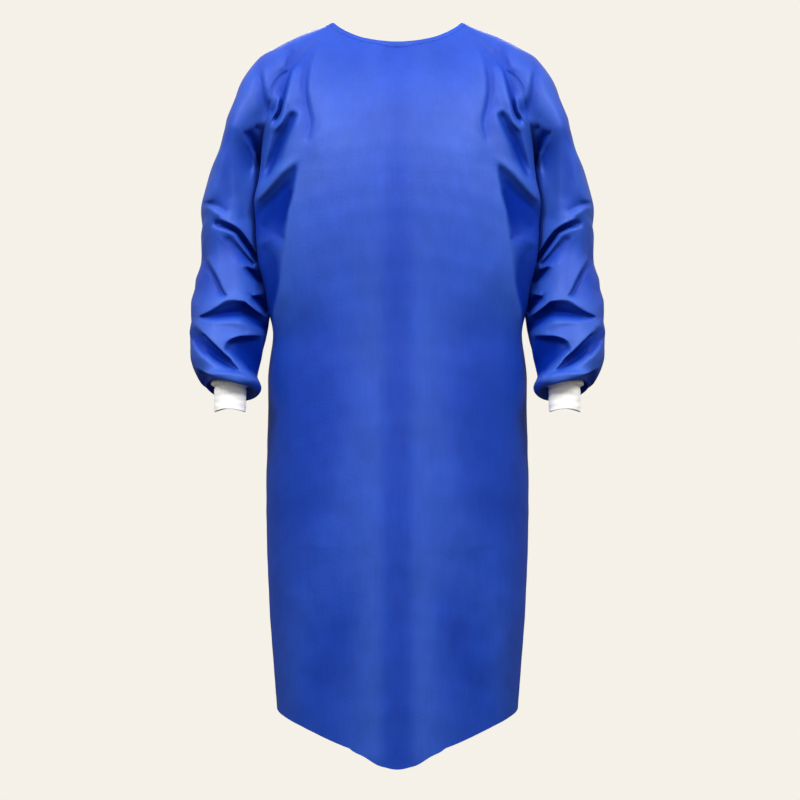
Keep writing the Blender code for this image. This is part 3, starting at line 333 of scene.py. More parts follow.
# Creases, by the piece that they lie on and the view that they are placed in. Each is a width and then the
# points of its line, and a point is two places and a height, ridges positive and troughs negative, all in
# millimetres. The two places are, in the front view, x and z on the plane y = 0 as the camera sees them; in
# the side view y and z; in the back view x and z.
CREASES = {
    ("body", "front"): (
        (1.8, (238, -355, -1), (220, -349, -2), (199, -344, -4)),
        (14, (43, -20, 1), (43, -192, 2), (43, -455, 2.5), (43, -718, 3), (43, -981, 3.5), (43, -1253, 4)),
        (3.4, (227, -367, -5), (215, -388, -6), (212, -420, -7), (215, -448, -7.5), (218, -472, -6.5),
         (219, -491, -3)),
        (2.4, (138, 5, 0), (150, -16, -2), (159, -37, -3.2), (163, -62, -4), (164, -86, -4),
         (161, -107, -3.2), (157, -125, -2.4), (153, -141, -1.6), (155, -156, -1), (157, -170, 0)),
        (2.7, (139, -20, 0.5), (148, -44, 1), (152, -69, 1.5), (152, -90, 1.8), (148, -114, 2),
         (142, -135, 2.2), (143, -156, 2)),
        (3.4, (175, -51, 0.8), (176, -76, 1.4), (176, -100, 1.4)),
        (1.8, (190, -53, -4), (197, -72, -6), (201, -90, -7), (204, -107, -8), (208, -121, -9),
         (215, -135, -8)),
        (2, (182, -55, 1), (189, -86, 3), (195, -107, 5), (199, -127, 6), (204, -141, 6), (213, -151, 5),
         (224, -149, 5)),
        (2.7, (224, -165, 4), (229, -192, 4), (236, -220, 3)),
        (2.7, (183, -131, -4), (190, -144, -6), (200, -162, -8), (209, -181, -10), (216, -200, -9),
         (222, -216, -7), (226, -230, -4)),
        (2, (192, -117, 3.5), (183, -120, 3), (173, -126, 2)),
        (2.7, (171, -128, 2), (176, -144, 3), (185, -167, 3), (192, -186, 4), (197, -202, 5)),
        (25, (160, -202, 4), (118, -190, 4), (48, -176, 3), (0, -169, 2.5)),
        (4.1, (182, -206, 5), (192, -213, 7), (204, -223, 9), (217, -239, 9.5), (231, -255, 9),
         (243, -269, 8)),
        (1.8, (178, -223, -1), (182, -232, -4), (185, -241, -6)),
        (2.7, (187, -246, -8), (196, -256, -10), (206, -267, -10), (218, -279, -10), (231, -291, -9),
         (241, -304, -7)),
        (4.1, (189, -265, -10), (194, -290, -11), (201, -314, -10), (208, -342, -6)),
        (3.4, (215, -300, -10), (231, -321, -8)),
        (1.8, (175, -220, 3), (175, -237, 4), (178, -256, 4), (182, -274, 4.5), (189, -297, 5),
         (192, -328, 5), (196, -367, 5.5), (201, -411, 5.5), (206, -449, 6), (210, -477, 6), (214, -507, 4),
         (215, -528, 1)),
        (14, (0, -34, -0.5), (0, -279, -1), (0, -455, -2), (0, -1270, -3)),
        (18, (62, -700, 2), (90, -788, 2), (104, -844, 1.5)),
        (16, (213, -819, -2), (171, -826, -3.5), (132, -816, -2)),
        (12, (89, -981, 0), (106, -1051, -3), (132, -1130, -3), (139, -1183, -1)),
        (12, (171, -981, 1), (189, -1086, 2), (192, -1156, 2)),
        (20, (139, -118, 3), (138, -165, 5), (148, -202, 3)),
        (25, (146, -542, -2), (152, -665, -4), (150, -770, -3)),
        (22, (104, -16, -1), (52, -27, -3), (0, -30, -3.5)),
    ),
    ("sleeve", "front"): (
        (1.8, (225, -141, 7), (238, -142, 6), (248, -145, 6), (259, -151, 5), (271, -160, 3)),
        (2, (271, -162, 3), (264, -176, 3), (255, -197, 2), (246, -220, 1)),
        (4.8, (283, -183, 1), (282, -244, 4), (280, -279, 5), (271, -309, 4)),
        (5.4, (317, -174, 2), (320, -209, 3.5), (324, -244, 4), (331, -276, 4)),
        (3.4, (301, -167, 0), (301, -200, 0), (301, -244, 0), (296, -276, 1)),
        (3.4, (248, -195, 6), (248, -218, 8), (248, -244, 9.5), (249, -279, 10), (250, -304, 9),
         (251, -327, 8), (249, -346, 7), (246, -362, 5)),
        (1.8, (341, -290, 4), (332, -291, 5), (319, -299, 5), (301, -306, 5), (285, -312, 5), (267, -319, 6),
         (253, -325, 8)),
        (2, (336, -284, 0), (325, -286, -1), (313, -291, -1), (301, -298, 0)),
        (1.8, (308, -309, 6), (285, -319, 8), (270, -330, 8), (259, -345, 8), (246, -367, 6)),
        (2, (317, -321, -3), (301, -325, -8), (283, -334, -10), (273, -348, -12), (259, -367, -15),
         (246, -386, -14)),
        (1.8, (324, -327, 3), (301, -331, 4), (283, -339, 5), (278, -349, 5), (264, -370, 4), (246, -393, 4)),
        (2, (297, -349, -2), (283, -362, -4), (269, -377, -4), (253, -390, -3)),
        (1.8, (283, -389, 3), (269, -405, 4), (258, -422, 4), (248, -427, 3)),
        (2, (262, -398, -8), (253, -407, -13), (241, -420, -10)),
        (1.8, (269, -394, 4), (255, -397, 4), (241, -398, 3)),
        (2.7, (341, -381, -2), (331, -397, -5), (320, -418, -6), (311, -435, -5), (303, -446, -3)),
        (2.7, (334, -405, -2), (325, -423, -3), (317, -437, -2)),
        (2, (331, -381, 3), (318, -404, 4), (310, -421, 4), (301, -441, 5)),
        (2.4, (255, -448, -8), (245, -453, -16), (236, -462, -18), (231, -474, -12)),
        (1.8, (260, -451, 6), (250, -444, 5), (236, -441, 3)),
        (3.4, (318, -495, 4), (290, -502, 3.5), (267, -509, 4)),
        (1.8, (353, -491, 4), (341, -505, 6), (329, -518, 7), (317, -530, 7), (303, -543, 8), (289, -556, 8),
         (275, -570, 8), (262, -583, 6), (248, -595, 3)),
        (3, (359, -531, 4), (346, -548, 5.5), (327, -563, 6), (303, -574, 6), (282, -580, 4.5)),
        (2.7, (359, -509, -3), (345, -525, -7), (331, -541, -10), (317, -555, -11), (301, -567, -9),
         (285, -576, -4)),
        (2.7, (338, -518, -4), (322, -534, -7), (308, -546, -8), (294, -558, -7)),
        (2.4, (350, -570, 3), (325, -579, 7), (297, -590, 8.5), (275, -595, 8.5), (246, -591, 6)),
        (2.7, (343, -584, -6), (334, -602, -9), (324, -616, -8)),
        (3.4, (199, -23, 1), (204, -44, 1.5)),
        (2.5, (260, -186, -1.5), (258, -204, -1.5), (257, -220, 0)),
        (1.8, (243, -39, -0.8), (241, -69, -1.8), (238, -95, -1), (232, -114, 0.2), (225, -127, 1)),
        (3.4, (257, -44, 1.5), (257, -76, 3), (255, -100, 4), (248, -121, 5)),
        (2, (232, -51, 1.5), (229, -76, 3), (224, -99, 4), (218, -109, 4)),
        (2, (266, -161, -3), (259, -167, -7), (253, -179, -9), (246, -195, -9), (243, -213, -8)),
        (2.2, (246, -149, 1), (241, -163, 3), (238, -177, 2)),
        (1.8, (353, -483, 3), (336, -474, 5), (320, -464, 7), (301, -449, 9), (285, -449, 8), (264, -453, 8),
         (259, -459, 8), (245, -470, 7), (225, -484, 5)),
        (2.4, (343, -484, -3), (320, -482, -8), (296, -477, -12), (275, -476, -13), (260, -481, -14),
         (245, -493, -13), (229, -505, -9)),
        (2.7, (271, -463, -10), (259, -472, -12), (243, -484, -9)),
        (1.8, (353, -488, 3), (336, -491, 4), (318, -493, 4), (296, -491, 5), (276, -491, 6), (264, -498, 5),
         (248, -507, 4), (231, -516, 2)),
        (2, (304, -537, 5), (301, -527, 5), (292, -519, 6), (276, -513, 7), (259, -512, 7), (238, -513, 4)),
        (2.7, (297, -539, -5), (292, -530, -8), (280, -525, -10), (262, -524, -11), (245, -527, -9)),
        (3.4, (271, -535, -13), (260, -549, -16.5), (250, -565, -16), (245, -579, -11)),
        (3, (290, -542, -7), (278, -554, -9), (267, -562, -11), (257, -574, -11)),
        (2.7, (360, -519, -5), (350, -534, -6), (336, -546, -6)),
    ),
    ("sleeve", "back"): (
        (7, (178, -30, -2), (200, -80, -6), (214, -130, -6)),
        (6, (262, -90, 0), (268, -150, 4), (262, -210, 4)),
        (3, (232, -150, 6), (252, -150, 6), (276, -162, 4)),
        (4, (238, -168, -8), (256, -176, -10), (276, -190, -5)),
        (7, (292, -200, 1), (290, -250, 4), (284, -296, 3)),
        (3, (342, -332, 3), (318, -319, 5), (290, -301, 5), (262, -292, 4)),
        (4, (250, -310, -6), (272, -321, -8), (300, -341, -6), (326, -360, -3)),
        (3, (250, -334, 4), (268, -350, 6), (292, -371, 6), (318, -385, 4), (342, -390, 2)),
        (4, (248, -370, -5), (264, -379, -8), (282, -391, -8), (300, -403, -3)),
        (3, (346, -418, 4), (322, -424, 6), (296, -420, 6), (270, -407, 5), (250, -402, 3)),
        (4, (350, -444, -4), (326, -452, -7), (300, -450, -8), (276, -440, -5)),
        (3, (246, -470, 5), (266, -466, 6), (288, -474, 6), (310, -490, 5), (334, -498, 3)),
        (4, (250, -500, -5), (270, -498, -8), (292, -508, -7), (312, -522, -3)),
        (3, (352, -518, 3), (334, -530, 5), (312, -540, 6), (286, -540, 5), (262, -530, 4)),
        (4, (346, -546, -4), (322, -558, -6), (296, -560, -6), (270, -554, -4)),
    ),
    ("body", "back"): (
        (8, (148, -40, 0), (160, -90, -4), (168, -150, -6), (176, -210, -4)),
        (6, (176, -90, 2), (188, -140, 6), (196, -190, 7), (200, -240, 5)),
        (5, (168, -186, 3), (182, -203, 7), (198, -224, 9), (212, -248, 9), (226, -272, 6)),
        (4, (176, -220, -5), (190, -240, -9), (204, -262, -9), (216, -286, -6)),
        (3, (188, -108, 4), (196, -134, 6), (206, -158, 5)),
        (3, (200, -120, -4), (208, -148, -7), (214, -172, -4)),
        (2.5, (167, -200, 3), (170, -240, 5), (177, -290, 5.5), (186, -340, 5), (194, -400, 3),
         (198, -440, 2)),
        (5, (196, -300, -6), (202, -340, -5), (208, -390, -3)),
        (16, (118, -90, 0), (124, -200, 2), (130, -310, 4), (138, -420, 3), (146, -520, 0)),
        (14, (90, -140, 0), (96, -260, -3), (106, -380, -3), (118, -490, 0)),
        (5, (76, -428, 2), (104, -418, 4), (140, -398, 3), (172, -380, 0)),
        (5, (80, -446, -1), (108, -452, -3), (142, -462, -3), (172, -474, 0)),
        (4, (84, -462, 1), (108, -482, 3), (132, -512, 0)),
        (18, (118, -480, 0), (122, -640, 2), (126, -900, 5), (122, -1226, 6)),
        (18, (170, -560, 0), (174, -800, -4), (174, -1060, -6), (168, -1222, -6)),
        (18, (64, -520, 0), (72, -800, -3), (78, -1060, -5), (76, -1230, -5)),
    ),
    ("sleeve", "side"): (
        (4.1, (-60, -60, 0), (-40, -110, -5), (-20, -160, -6), (0, -200, -3)),
        (4.1, (30, -70, 0), (45, -130, -5), (50, -190, -5), (45, -240, -2)),
        (4.8, (5, -120, 2), (10, -200, 4), (12, -270, 4), (5, -310, 2)),
        (2, (-70, -284, 4), (-40, -290, 5), (-5, -300, 5), (30, -312, 3), (60, -314, 2)),
        (2.7, (-80, -306, -3), (-45, -316, -5), (-10, -326, -5), (30, -330, -4), (70, -328, -2)),
        (2, (-80, -320, 4), (-45, -332, 5), (-5, -346, 5), (35, -350, 4), (70, -346, 2)),
        (2.7, (-95, -376, -4), (-55, -384, -5), (-10, -392, -5), (35, -388, -4), (60, -380, -2)),
        (2, (-95, -392, 4), (-60, -404, 5), (-20, -418, 5), (20, -418, 4), (50, -408, 2)),
        (2.7, (-100, -445, -3), (-60, -442, -5), (-20, -436, -5), (20, -438, -4), (45, -446, -2)),
        (2, (-105, -474, 5), (-65, -466, 5), (-25, -458, 5), (15, -460, 4), (40, -466, 2)),
        (2.7, (-110, -482, -5), (-70, -488, -6), (-30, -496, -6), (5, -494, -4), (30, -484, -3)),
        (2, (-112, -492, 5), (-75, -506, 5), (-35, -518, 5), (0, -514, 4), (25, -506, 2)),
        (2.7, (-120, -530, -4), (-80, -538, -5), (-45, -538, -5), (-10, -534, -4)),
        (2, (-125, -556, 4), (-90, -560, 5), (-55, -560, 5), (-20, -554, 3)),
        (2, (-95, -128, 2), (-70, -140, 3), (-44, -146, 4), (-20, -140, 2)),
        (2, (-96, -150, -3), (-66, -164, -4), (-40, -168, -3)),
        (2, (90, -120, 3), (60, -140, 4), (30, -150, 3)),
        (2, (84, -150, -3), (56, -166, -4), (26, -176, -2)),
        (2, (30, -214, 2), (55, -232, 4), (86, -236, 4)),
        (2, (34, -236, -3), (60, -252, -4), (92, -252, -3)),
        (2, (-92, -206, 4), (-60, -222, 4), (-30, -246, 2)),
        (2, (-90, -232, -4), (-60, -248, -4), (-36, -266, -2)),
        (3.4, (10, 20, 0), (-6, -20, -2), (-16, -70, -3)),
        (3.4, (18, -20, 1), (14, -60, 3), (12, -100, 3)),
    ),
    ("both", "front"): (
        (2.7, (175, -6, 0), (181, -16, -3.6), (187, -30, -4.6), (190, -44, -4.4)),
        (1.8, (208, -100, 2), (210, -114, 3), (211, -123, 4), (220, -135, 5), (227, -142, 6)),
        (1.8, (217, -118, 0), (221, -125, -1)),
    ),
}

# Small creases left from packing, in the same form.
FINE_CREASES = {
    ("body", "front"): (
        (3, (213, -802, 0), (203, -802, 0.5), (178, -800, 0)),
        (3, (182, -874, 0), (162, -879, 0.6), (136, -884, 0.7), (101, -891, 0)),
        (3, (213, -965, 0), (189, -972, 0.5), (150, -981, 0.7), (94, -991, 0)),
        (2.5, (139, -1156, 0), (118, -1146, 0.5), (94, -1128, 0)),
        (3.5, (34, -4, 0), (20, -7, -2), (1, -9, -2.6), (-20, -7, -2), (-36, -4, 0)),
        (3, (238, -616, 0), (213, -623, 0.6), (175, -628, 0)),
        (3, (224, -702, 0), (185, -711, 0.5), (150, -705, 0)),
    ),
    ("sleeve", "front"): (
        (2.5, (322, -335, 0), (308, -349, 0.6), (296, -369, 0)),
        (2.5, (336, -455, 0), (322, -462, 0.5), (304, -460, 0)),
    ),
    ("body", "back"): (
        (3, (190, -800, 0), (160, -804, 0.7), (130, -806, 0)),
        (3, (180, -980, 0), (140, -985, 0.6), (96, -984, 0)),
        (3, (60, -640, 0), (84, -646, 0.6), (120, -644, 0)),
        (3, (70, -880, 0), (100, -890, 0.6), (130, -886, 0)),
    ),
    ("both", "front"): (
        (2, (178, -37, -0.2), (182, -42, -0.8), (189, -51, -1), (201, -57, -0.9), (211, -67, -0.8),
         (220, -83, -0.7), (223, -93, 0)),
    ),
}

# Places, in millimetres as seen from the front, where the outline of the left half stands out or in a little,
# and whether the body alone or both body and sleeve move there.
Nudge = namedtuple("Nudge", "moves x z right up reach")
NUDGES = (
    Nudge("both", 215, -10, -1.2, -3.4, 26),
    Nudge("both", 248, -30, 2.0, 2.5, 18),
    Nudge("both", 315, -192, -3.0, -1.0, 28),
    Nudge("both", 340, -610, 4.5, -3.5, 12),
    Nudge("body", 250, -282, 2.8, 0, 34),
    Nudge("body", 240, -378, 6.0, 0, 50),
    Nudge("body", 224, -475, 7.0, 0, 26),
)

# The binding round the neck edge: the rows of cloth that it covers, its size, its distance off the cloth, and
# its slow pucker, whose spacing drifts a little.
NECK_ROWS = 6
BINDING_WIDTH = 0.009
BINDING_STEP = 0.0015
BINDING_STAND = 0.0004
BINDING_WALL = 0.0006
BINDING_LEG_POINTS = 9
BINDING_TURN_POINTS = 5
BINDING_PUCKER = 0.00022
PUCKER_SPACING = 0.013
PUCKER_DRIFT = 1.3
PUCKER_DRIFT_RATE = 40.0

# The row of stitches along the binding: how far below its edge, the dent it lies in, and one stitch's size.
STITCH_DEPTH = 0.0072
STITCH_DENT = 0.00022
STITCH_DENT_REACH = 0.0009
STITCH_SPACING = 0.0030
STITCH_LENGTH = 0.0021
STITCH_WIDTH = 0.0006

# A knit cuff, its ribs, the ruffles of its loose top band and the slack across its ribs. The ruffles and the
# slack drift a little, so that they don't repeat round the wrist.
CUFF_LENGTH = 0.056
CUFF_TILT = 8.0
CUFF_SAG = 0.0030
CUFF_ROWS = 54
CUFF_RIBS = 56
POINTS_PER_RIB = 4
CUFF_WALL = 0.0010
RIB_HEIGHT = 0.00022
RUFFLES = 17
RUFFLE_HEIGHT = 0.0007
RUFFLE_DRIFT = 2.0
RUFFLE_DRIFT_TURNS = 3
RUFFLE_DROP = 0.8
SLACK_HEIGHT = 0.0002
SLACK_SPACING = 0.011
SLACK_DRIFT = 1.5
SLACK_DRIFT_TURNS = 2
SLACK_DRIFT_START = 0.6

# A cuff's profile, by the distance along the knit from its sewn edge: how far below that edge, its radius,
# and how much of the ribs and of the band's ruffle shows there.
CuffRow = namedtuple("CuffRow", "station drop radius ribbed ruffled")

CUFF_PROFILE = (
    CuffRow(0.0000, 0.0003, 0.0318, 0.0, 0.0),
    CuffRow(0.0040, 0.0040, 0.0312, 0.1, 0.3),
    CuffRow(0.0120, 0.0120, 0.0314, 0.2, 1.0),
    CuffRow(0.0150, 0.0142, 0.0294, 0.3, 0.5),
    CuffRow(0.0180, 0.0155, 0.0268, 0.7, 0.0),
    CuffRow(0.0250, 0.0220, 0.0266, 1.0, 0.0),
    CuffRow(0.0400, 0.0370, 0.0264, 1.0, 0.0),
    CuffRow(0.0550, 0.0520, 0.0262, 1.0, 0.0),
    CuffRow(0.0590, 0.0556, 0.0258, 0.8, 0.0),
    CuffRow(0.0610, 0.0560, 0.0247, 0.5, 0.0),
    CuffRow(0.0640, 0.0540, 0.0240, 0.5, 0.0),
    CuffRow(0.0720, 0.0460, 0.0240, 0.5, 0.0),
)

# A tie: the station and x where its root is sewn on, the x where its tail hangs, how far it lies off the
# cloth there, and its tail's length and sideways lean.
Tie = namedtuple("Tie", "name station root_x tail_x lift tail tail_lean")

TIES = (
    Tie("neck_tape_left", 0.034, -0.026, -0.074, 0.0078, 0.190, -0.004),
    Tie("neck_tape_right", 0.034, -0.114, -0.090, 0.0024, 0.175, -0.006),
    Tie("waist_tape_left", 0.430, -0.035, -0.090, 0.0078, 0.240, -0.004),
    Tie("waist_tape_right", 0.430, -0.160, -0.106, 0.0024, 0.225, -0.010),
)

# A tape: its size, its turn down into the tail, its distance off the cloth at its root and along its tail,
# the tail's sway and bends, and the number of points along each stretch. A left tape runs out over its
# panel's edge and from there lies higher off the panel below. Each tail settles back on the cloth.
TIE_WIDTH = 0.012
TIE_WALL = 0.0008
TIE_TURN = 0.013
TIE_CLEAR = 0.0012
TAIL_LIFT = 0.0034
TAIL_SWAY = 0.002
TAIL_BENDS = 5
ROOT_POINTS = 16
TURN_POINTS = 12
TAIL_POINTS = 46
RISE_START = 6
RISE_POINTS = 8.0
SETTLE_POINTS = 14.0
TAPE_COLUMNS = 8
TAPE_CUP = 0.0003

# A knot: how the tapes cup, narrow and lift towards it, and the two wraps round it.
KNOT_CUP = 0.0012
KNOT_SPREAD = 7.0
KNOT_NARROWING = 0.42
KNOT_TAPE_LIFT = 0.002
KNOT_LIFT = 0.0088
WRAP_LEAN = 24.0
WRAP_OFFSET = 0.0042
WRAP_POINTS = 44
WRAP_CROWN = 0.16
WRAP_DEPTH = 0.0050
WRAP_HEIGHT = 0.0088
WRAP_WIDTH = 0.0105

# The cloth's own blue, with painted shade in its troughs and a painted highlight on its ridges by how far a point
# stands out, its gloss turned down in its troughs, its pale and dark clouds and streaks, and its fibres.
GOWN_BLUE = (0.0078, 0.0465, 0.3620)
TROUGH_PAINTED_SHADE_BLUE = (0.0007, 0.0170, 0.245)
RIDGE_PAINTED_HIGHLIGHT_BLUE = (0.0240, 0.0800, 0.4200)
TROUGH_DEPTH = -0.013
RIDGE_HEIGHT = 0.008
GLOSS_RANGE = (-0.012, 0.0)
GLOSS = (0.034, 0.24)
CLOTH_ROUGHNESS = 0.55
NOISE_RANGE = (0.3, 0.7)
CLOUD_SCALE = 14.0
CLOUD_DETAIL = 6.0
CLOUD_SHADES = (0.90, 1.08)
STREAK_STRETCH = (1.0, 1.0, 0.12)
STREAK_SCALE = 180.0
STREAK_DETAIL = 3.0
STREAK_SHADES = (0.95, 1.05)
FIBRE_SCALE = 260.0
FIBRE_DETAIL = 4.0
FIBRE_BUMP = 0.5
FIBRE_HEIGHT = 0.0006

# The knit's colour, the shade between its courses of stitches, and the courses themselves.
KNIT_WHITE = (0.85, 0.85, 0.85)
KNIT_SHADE = 0.92
KNIT_ROUGHNESS = 0.85
KNIT_GLOSS = 0.25
KNIT_COURSES = 240.0
KNIT_DISTORTION = 1.5
KNIT_DETAIL = 1.0
KNIT_BUMP = 0.35
KNIT_HEIGHT = 0.0003

# The background's colour, the floor, the dome of light, dark at its foot and bright from its top up, and the
# lamps: name, place, aim, size in metres and power in watts.
BACKGROUND = (0.913, 0.880, 0.807, 1.0)
FLOOR = -1.45
FLOOR_SIZE = 40.0
DOME_HEIGHTS = (-0.2, 0.7)
DOME_STRENGTHS = (0.10, 1.232)
LIGHTS = (
    ("key_left", (1.3, -2.0, 1.65), (0.0, 0.0, -0.35), 1.0, 76),
    ("key_right", (-1.3, -2.0, 1.65), (0.0, 0.0, -0.35), 1.0, 76),
    ("front_fill", (0.0, -3.4, -0.1), (0.0, 0.0, -0.6), 2.2, 12),
    ("back_key", (0.0, 2.4, 1.3), (0.0, 0.0, -0.4), 1.4, 67),
)

# A piece of the scene: the solid that it stands for, the finish that it takes, how wide and long its cloth
# lies flat, the area where that isn't their product, how it is held, what it rests on, and the pieces that go
# with it.
Piece = namedtuple("Piece", "name node slot width length area held rests_on goes_with")

SIDES = ("left", "right")
PIECES = (
    Piece("front_cloth", "front_panel", "gown_cloth", 0.70, 1.25, 0.80, "hung", ["neck_band"], []),
    *(Piece(f"back_cloth_{side}", f"back_panel_{side}", "gown_cloth", 0.50, 1.20, 0.48, "hung",
            ["neck_band"], []) for side in SIDES),
    *(Piece(f"sleeve_cloth_{side}", f"sleeve_{side}", "gown_cloth", 0.52, 0.82, 0.33, "hung",
            ["neck_band"], []) for side in SIDES),
    Piece("neck_band", "neck_binding", "gown_binding", 0.022, 0.69, None, "stretched",
          ["front_cloth", "back_cloth_left", "back_cloth_right"], ["neck_band_stitches"]),
    *(Piece(f"knit_cuff_{side}", f"cuff_{side}", "cuff_knit", 0.165, 0.072, None, "hung",
            [f"sleeve_cloth_{side}"], []) for side in SIDES),
    *(Piece(f"{place}_tape_{side}", f"{place}_tie_{side}", "gown_tape", 0.012, length, None, "hung",
            [f"back_cloth_{side}"], [f"{place}_knot_wrap_{side}"])
      for place, side, length in (("neck", "left", 0.28), ("neck", "right", 0.245),
                                  ("waist", "left", 0.32), ("waist", "right", 0.30))),
)

# A panel of cloth: its grid of points and the outward normal at each.
Panel = namedtuple("Panel", "grid normals")


def smooth_column(keys, values, at):
    """Read a table's column at many stations, on a cubic through its rows."""
    spans = np.diff(keys)
    rises = np.diff(values) / spans
    slopes = np.empty_like(values)
    slopes[0] = rises[0]
    slopes[-1] = rises[-1]
    slopes[1:-1] = (rises[:-1] * spans[1:] + rises[1:] * spans[:-1]) / (spans[:-1] + spans[1:])
    row = np.clip(np.searchsorted(keys, at) - 1, 0, len(spans) - 1)
    span = spans[row]
    t = (at - keys[row]) / span
    return (values[row] * (1 + 2 * t) * (1 - t) ** 2 + values[row + 1] * t * t * (3 - 2 * t)
            + span * slopes[row] * t * (1 - t) ** 2 + span * slopes[row + 1] * t * t * (t - 1))


def read_rows(table, stations):
    """A table's columns at many stations, each as a column of numbers. The first is the station itself."""
    columns = np.array(table, float).T
    return type(table[0])(*(smooth_column(columns[0], column, stations)[:, None] for column in columns))


def smooth_step(t):
    t = np.clip(t, 0.0, 1.0)
    return t * t * (3 - 2 * t)


def points_of(x, y, z):
    return np.stack(np.broadcast_arrays(x, y, z), axis=-1)


def body_points(row, across):
    """Points of body sections, across = 0 at their middle and 1 or -1 at their seams."""
    arc = np.radians(row.arc)
    angle = np.abs(across) * arc
    power = 2.0 / row.square
    reach = (np.sin(angle) / np.sin(arc)) ** power
    edge_cosine = np.maximum(np.cos(arc), 0.0) ** power
    depth = (np.maximum(np.cos(angle), 0.0) ** power - edge_cosine) / (1.0 - edge_cosine)
    x = row.edge_x * reach
    y = row.edge_y + (row.middle_y - row.edge_y) * depth
    z = row.edge_z + (row.middle_z - row.edge_z) * depth
    keys = np.array([shape.station for shape in HEM_SHAPE])
    shares = np.array([shape.share for shape in HEM_SHAPE])
    z = z + row.hem_dip * smooth_column(keys, shares, np.clip(x, 0.0, keys[-1]).ravel()).reshape(x.shape)
    x = x - row.arm_dip * np.exp(-((y - ARM_DIP_Y) / ARM_DIP_REACH) ** 2)
    return points_of(np.copysign(x, across), y, z)


def body_stations():
    yoke = np.linspace(0.0, UNDERARM, YOKE_ROWS + 1)
    chest = np.linspace(UNDERARM, WAIST, CHEST_ROWS + 1)[1:]
    skirt = np.linspace(WAIST, HEM, SKIRT_ROWS + 1)[1:]
    return np.concatenate((yoke, chest, skirt))


def sleeve_stations():
    yoke = np.linspace(0.0, UNDERARM, YOKE_ROWS + 1)
    spread = np.linspace(0.0, 1.0, FOREARM_ROWS + 1)[1:]
    forearm = UNDERARM + (SLEEVE_END - UNDERARM) * (1.0 - (1.0 - spread) ** FOREARM_SPACING)
    return np.concatenate((yoke, forearm))


def back_rows():
    """Sections of the back, which share the front's side seam below the underarm."""
    stations = body_stations()
    back = read_rows(BACK_ROWS, stations)
    front = read_rows(FRONT_ROWS, stations)
    below = (stations >= UNDERARM)[:, None]
    shared = {name: np.where(below, getattr(front, name), getattr(back, name))
              for name in ("edge_x", "edge_y", "edge_z", "arm_dip")}
    return back._replace(**shared)


def back_across(row):
    """How far across its section each column of a back panel lies, from its side seam to its free edge."""
    edge = BACK_EDGE_AT_NECK + (BACK_EDGE_AT_HEM - BACK_EDGE_AT_NECK) * row.station / HEM
    arc = np.radians(row.arc)
    past_middle = np.arcsin((edge / row.edge_x) ** (row.square / 2) * np.sin(arc)) / arc
    return 1.0 - (1.0 + past_middle) * np.linspace(0.0, 1.0, BACK_COLUMNS + 1)


def front_grid():
    """The left half of the front, from its middle to its side seam."""
    return body_points(read_rows(FRONT_ROWS, body_stations()), np.linspace(0.0, 1.0, HALF_FRONT_COLUMNS + 1))


def back_grid():
    row = back_rows()
    return body_points(row, back_across(row))


def sleeve_grid(front, back):
    """The left sleeve, from its front seam round to its back seam; a closed ring below the underarm."""
    row = read_rows(SLEEVE_ROWS, sleeve_stations())
    turn = np.linspace(0.0, math.pi, SLEEVE_COLUMNS + 1)[None, :]
    outer = points_of(row.outer_x, row.outer_y, row.outer_z)
    inner = points_of(row.inner_x, row.inner_y, row.inner_z)
    front_edge = inner.copy()
    back_edge = inner.copy()
    front_edge[YOKE, 0] = front[YOKE, -1]
    back_edge[YOKE, 0] = back[YOKE, 0]
    middle = (front_edge + back_edge) / 2
    lean = np.radians(row.lean)
    forward = points_of(np.zeros_like(lean), -row.depth * np.cos(lean), row.depth * np.sin(lean))
    arch = (1.0 - row.closing) * np.sin(turn) + row.closing * (1.0 - np.cos(2 * turn)) / 2
    pinched = np.maximum(PINCH_FULLNESS * np.sin(turn), TINY) ** np.maximum(row.pinch, 0.0)
    depth = row.closing * np.sin(2 * turn) * pinched
    grid = (middle + (front_edge - back_edge) / 2 * np.cos(turn)[..., None]
            + (outer - middle) * arch[..., None] + forward * depth[..., None])
    span = slice(YOKE_ROWS - BLEND_ROWS, YOKE_ROWS + BLEND_ROWS + 1)
    blend = smooth_step(np.minimum(turn, math.pi - turn) / BLEND_TURN)[..., None] * BLEND_SHARE
    for _ in range(BLEND_PASSES):
        around = grid[span.start - 1:span.stop - 1] + grid[span.start + 1:span.stop + 1] - 2 * grid[span]
        grid[span] += around * blend
    return grid


def corners(grid):
    """The four corners of every cell of a grid, going round the cell."""
    return grid[:-1, :-1], grid[:-1, 1:], grid[1:, 1:], grid[1:, :-1]


def cell_normals(grid):
    """Outward normals of a left-hand grid's cells, as long as twice their area."""
    return np.cross(grid[1:, :-1] - grid[:-1, 1:], grid[1:, 1:] - grid[:-1, :-1])


def unit(vectors):
    return vectors / np.maximum(np.linalg.norm(vectors, axis=-1, keepdims=True), TINY)


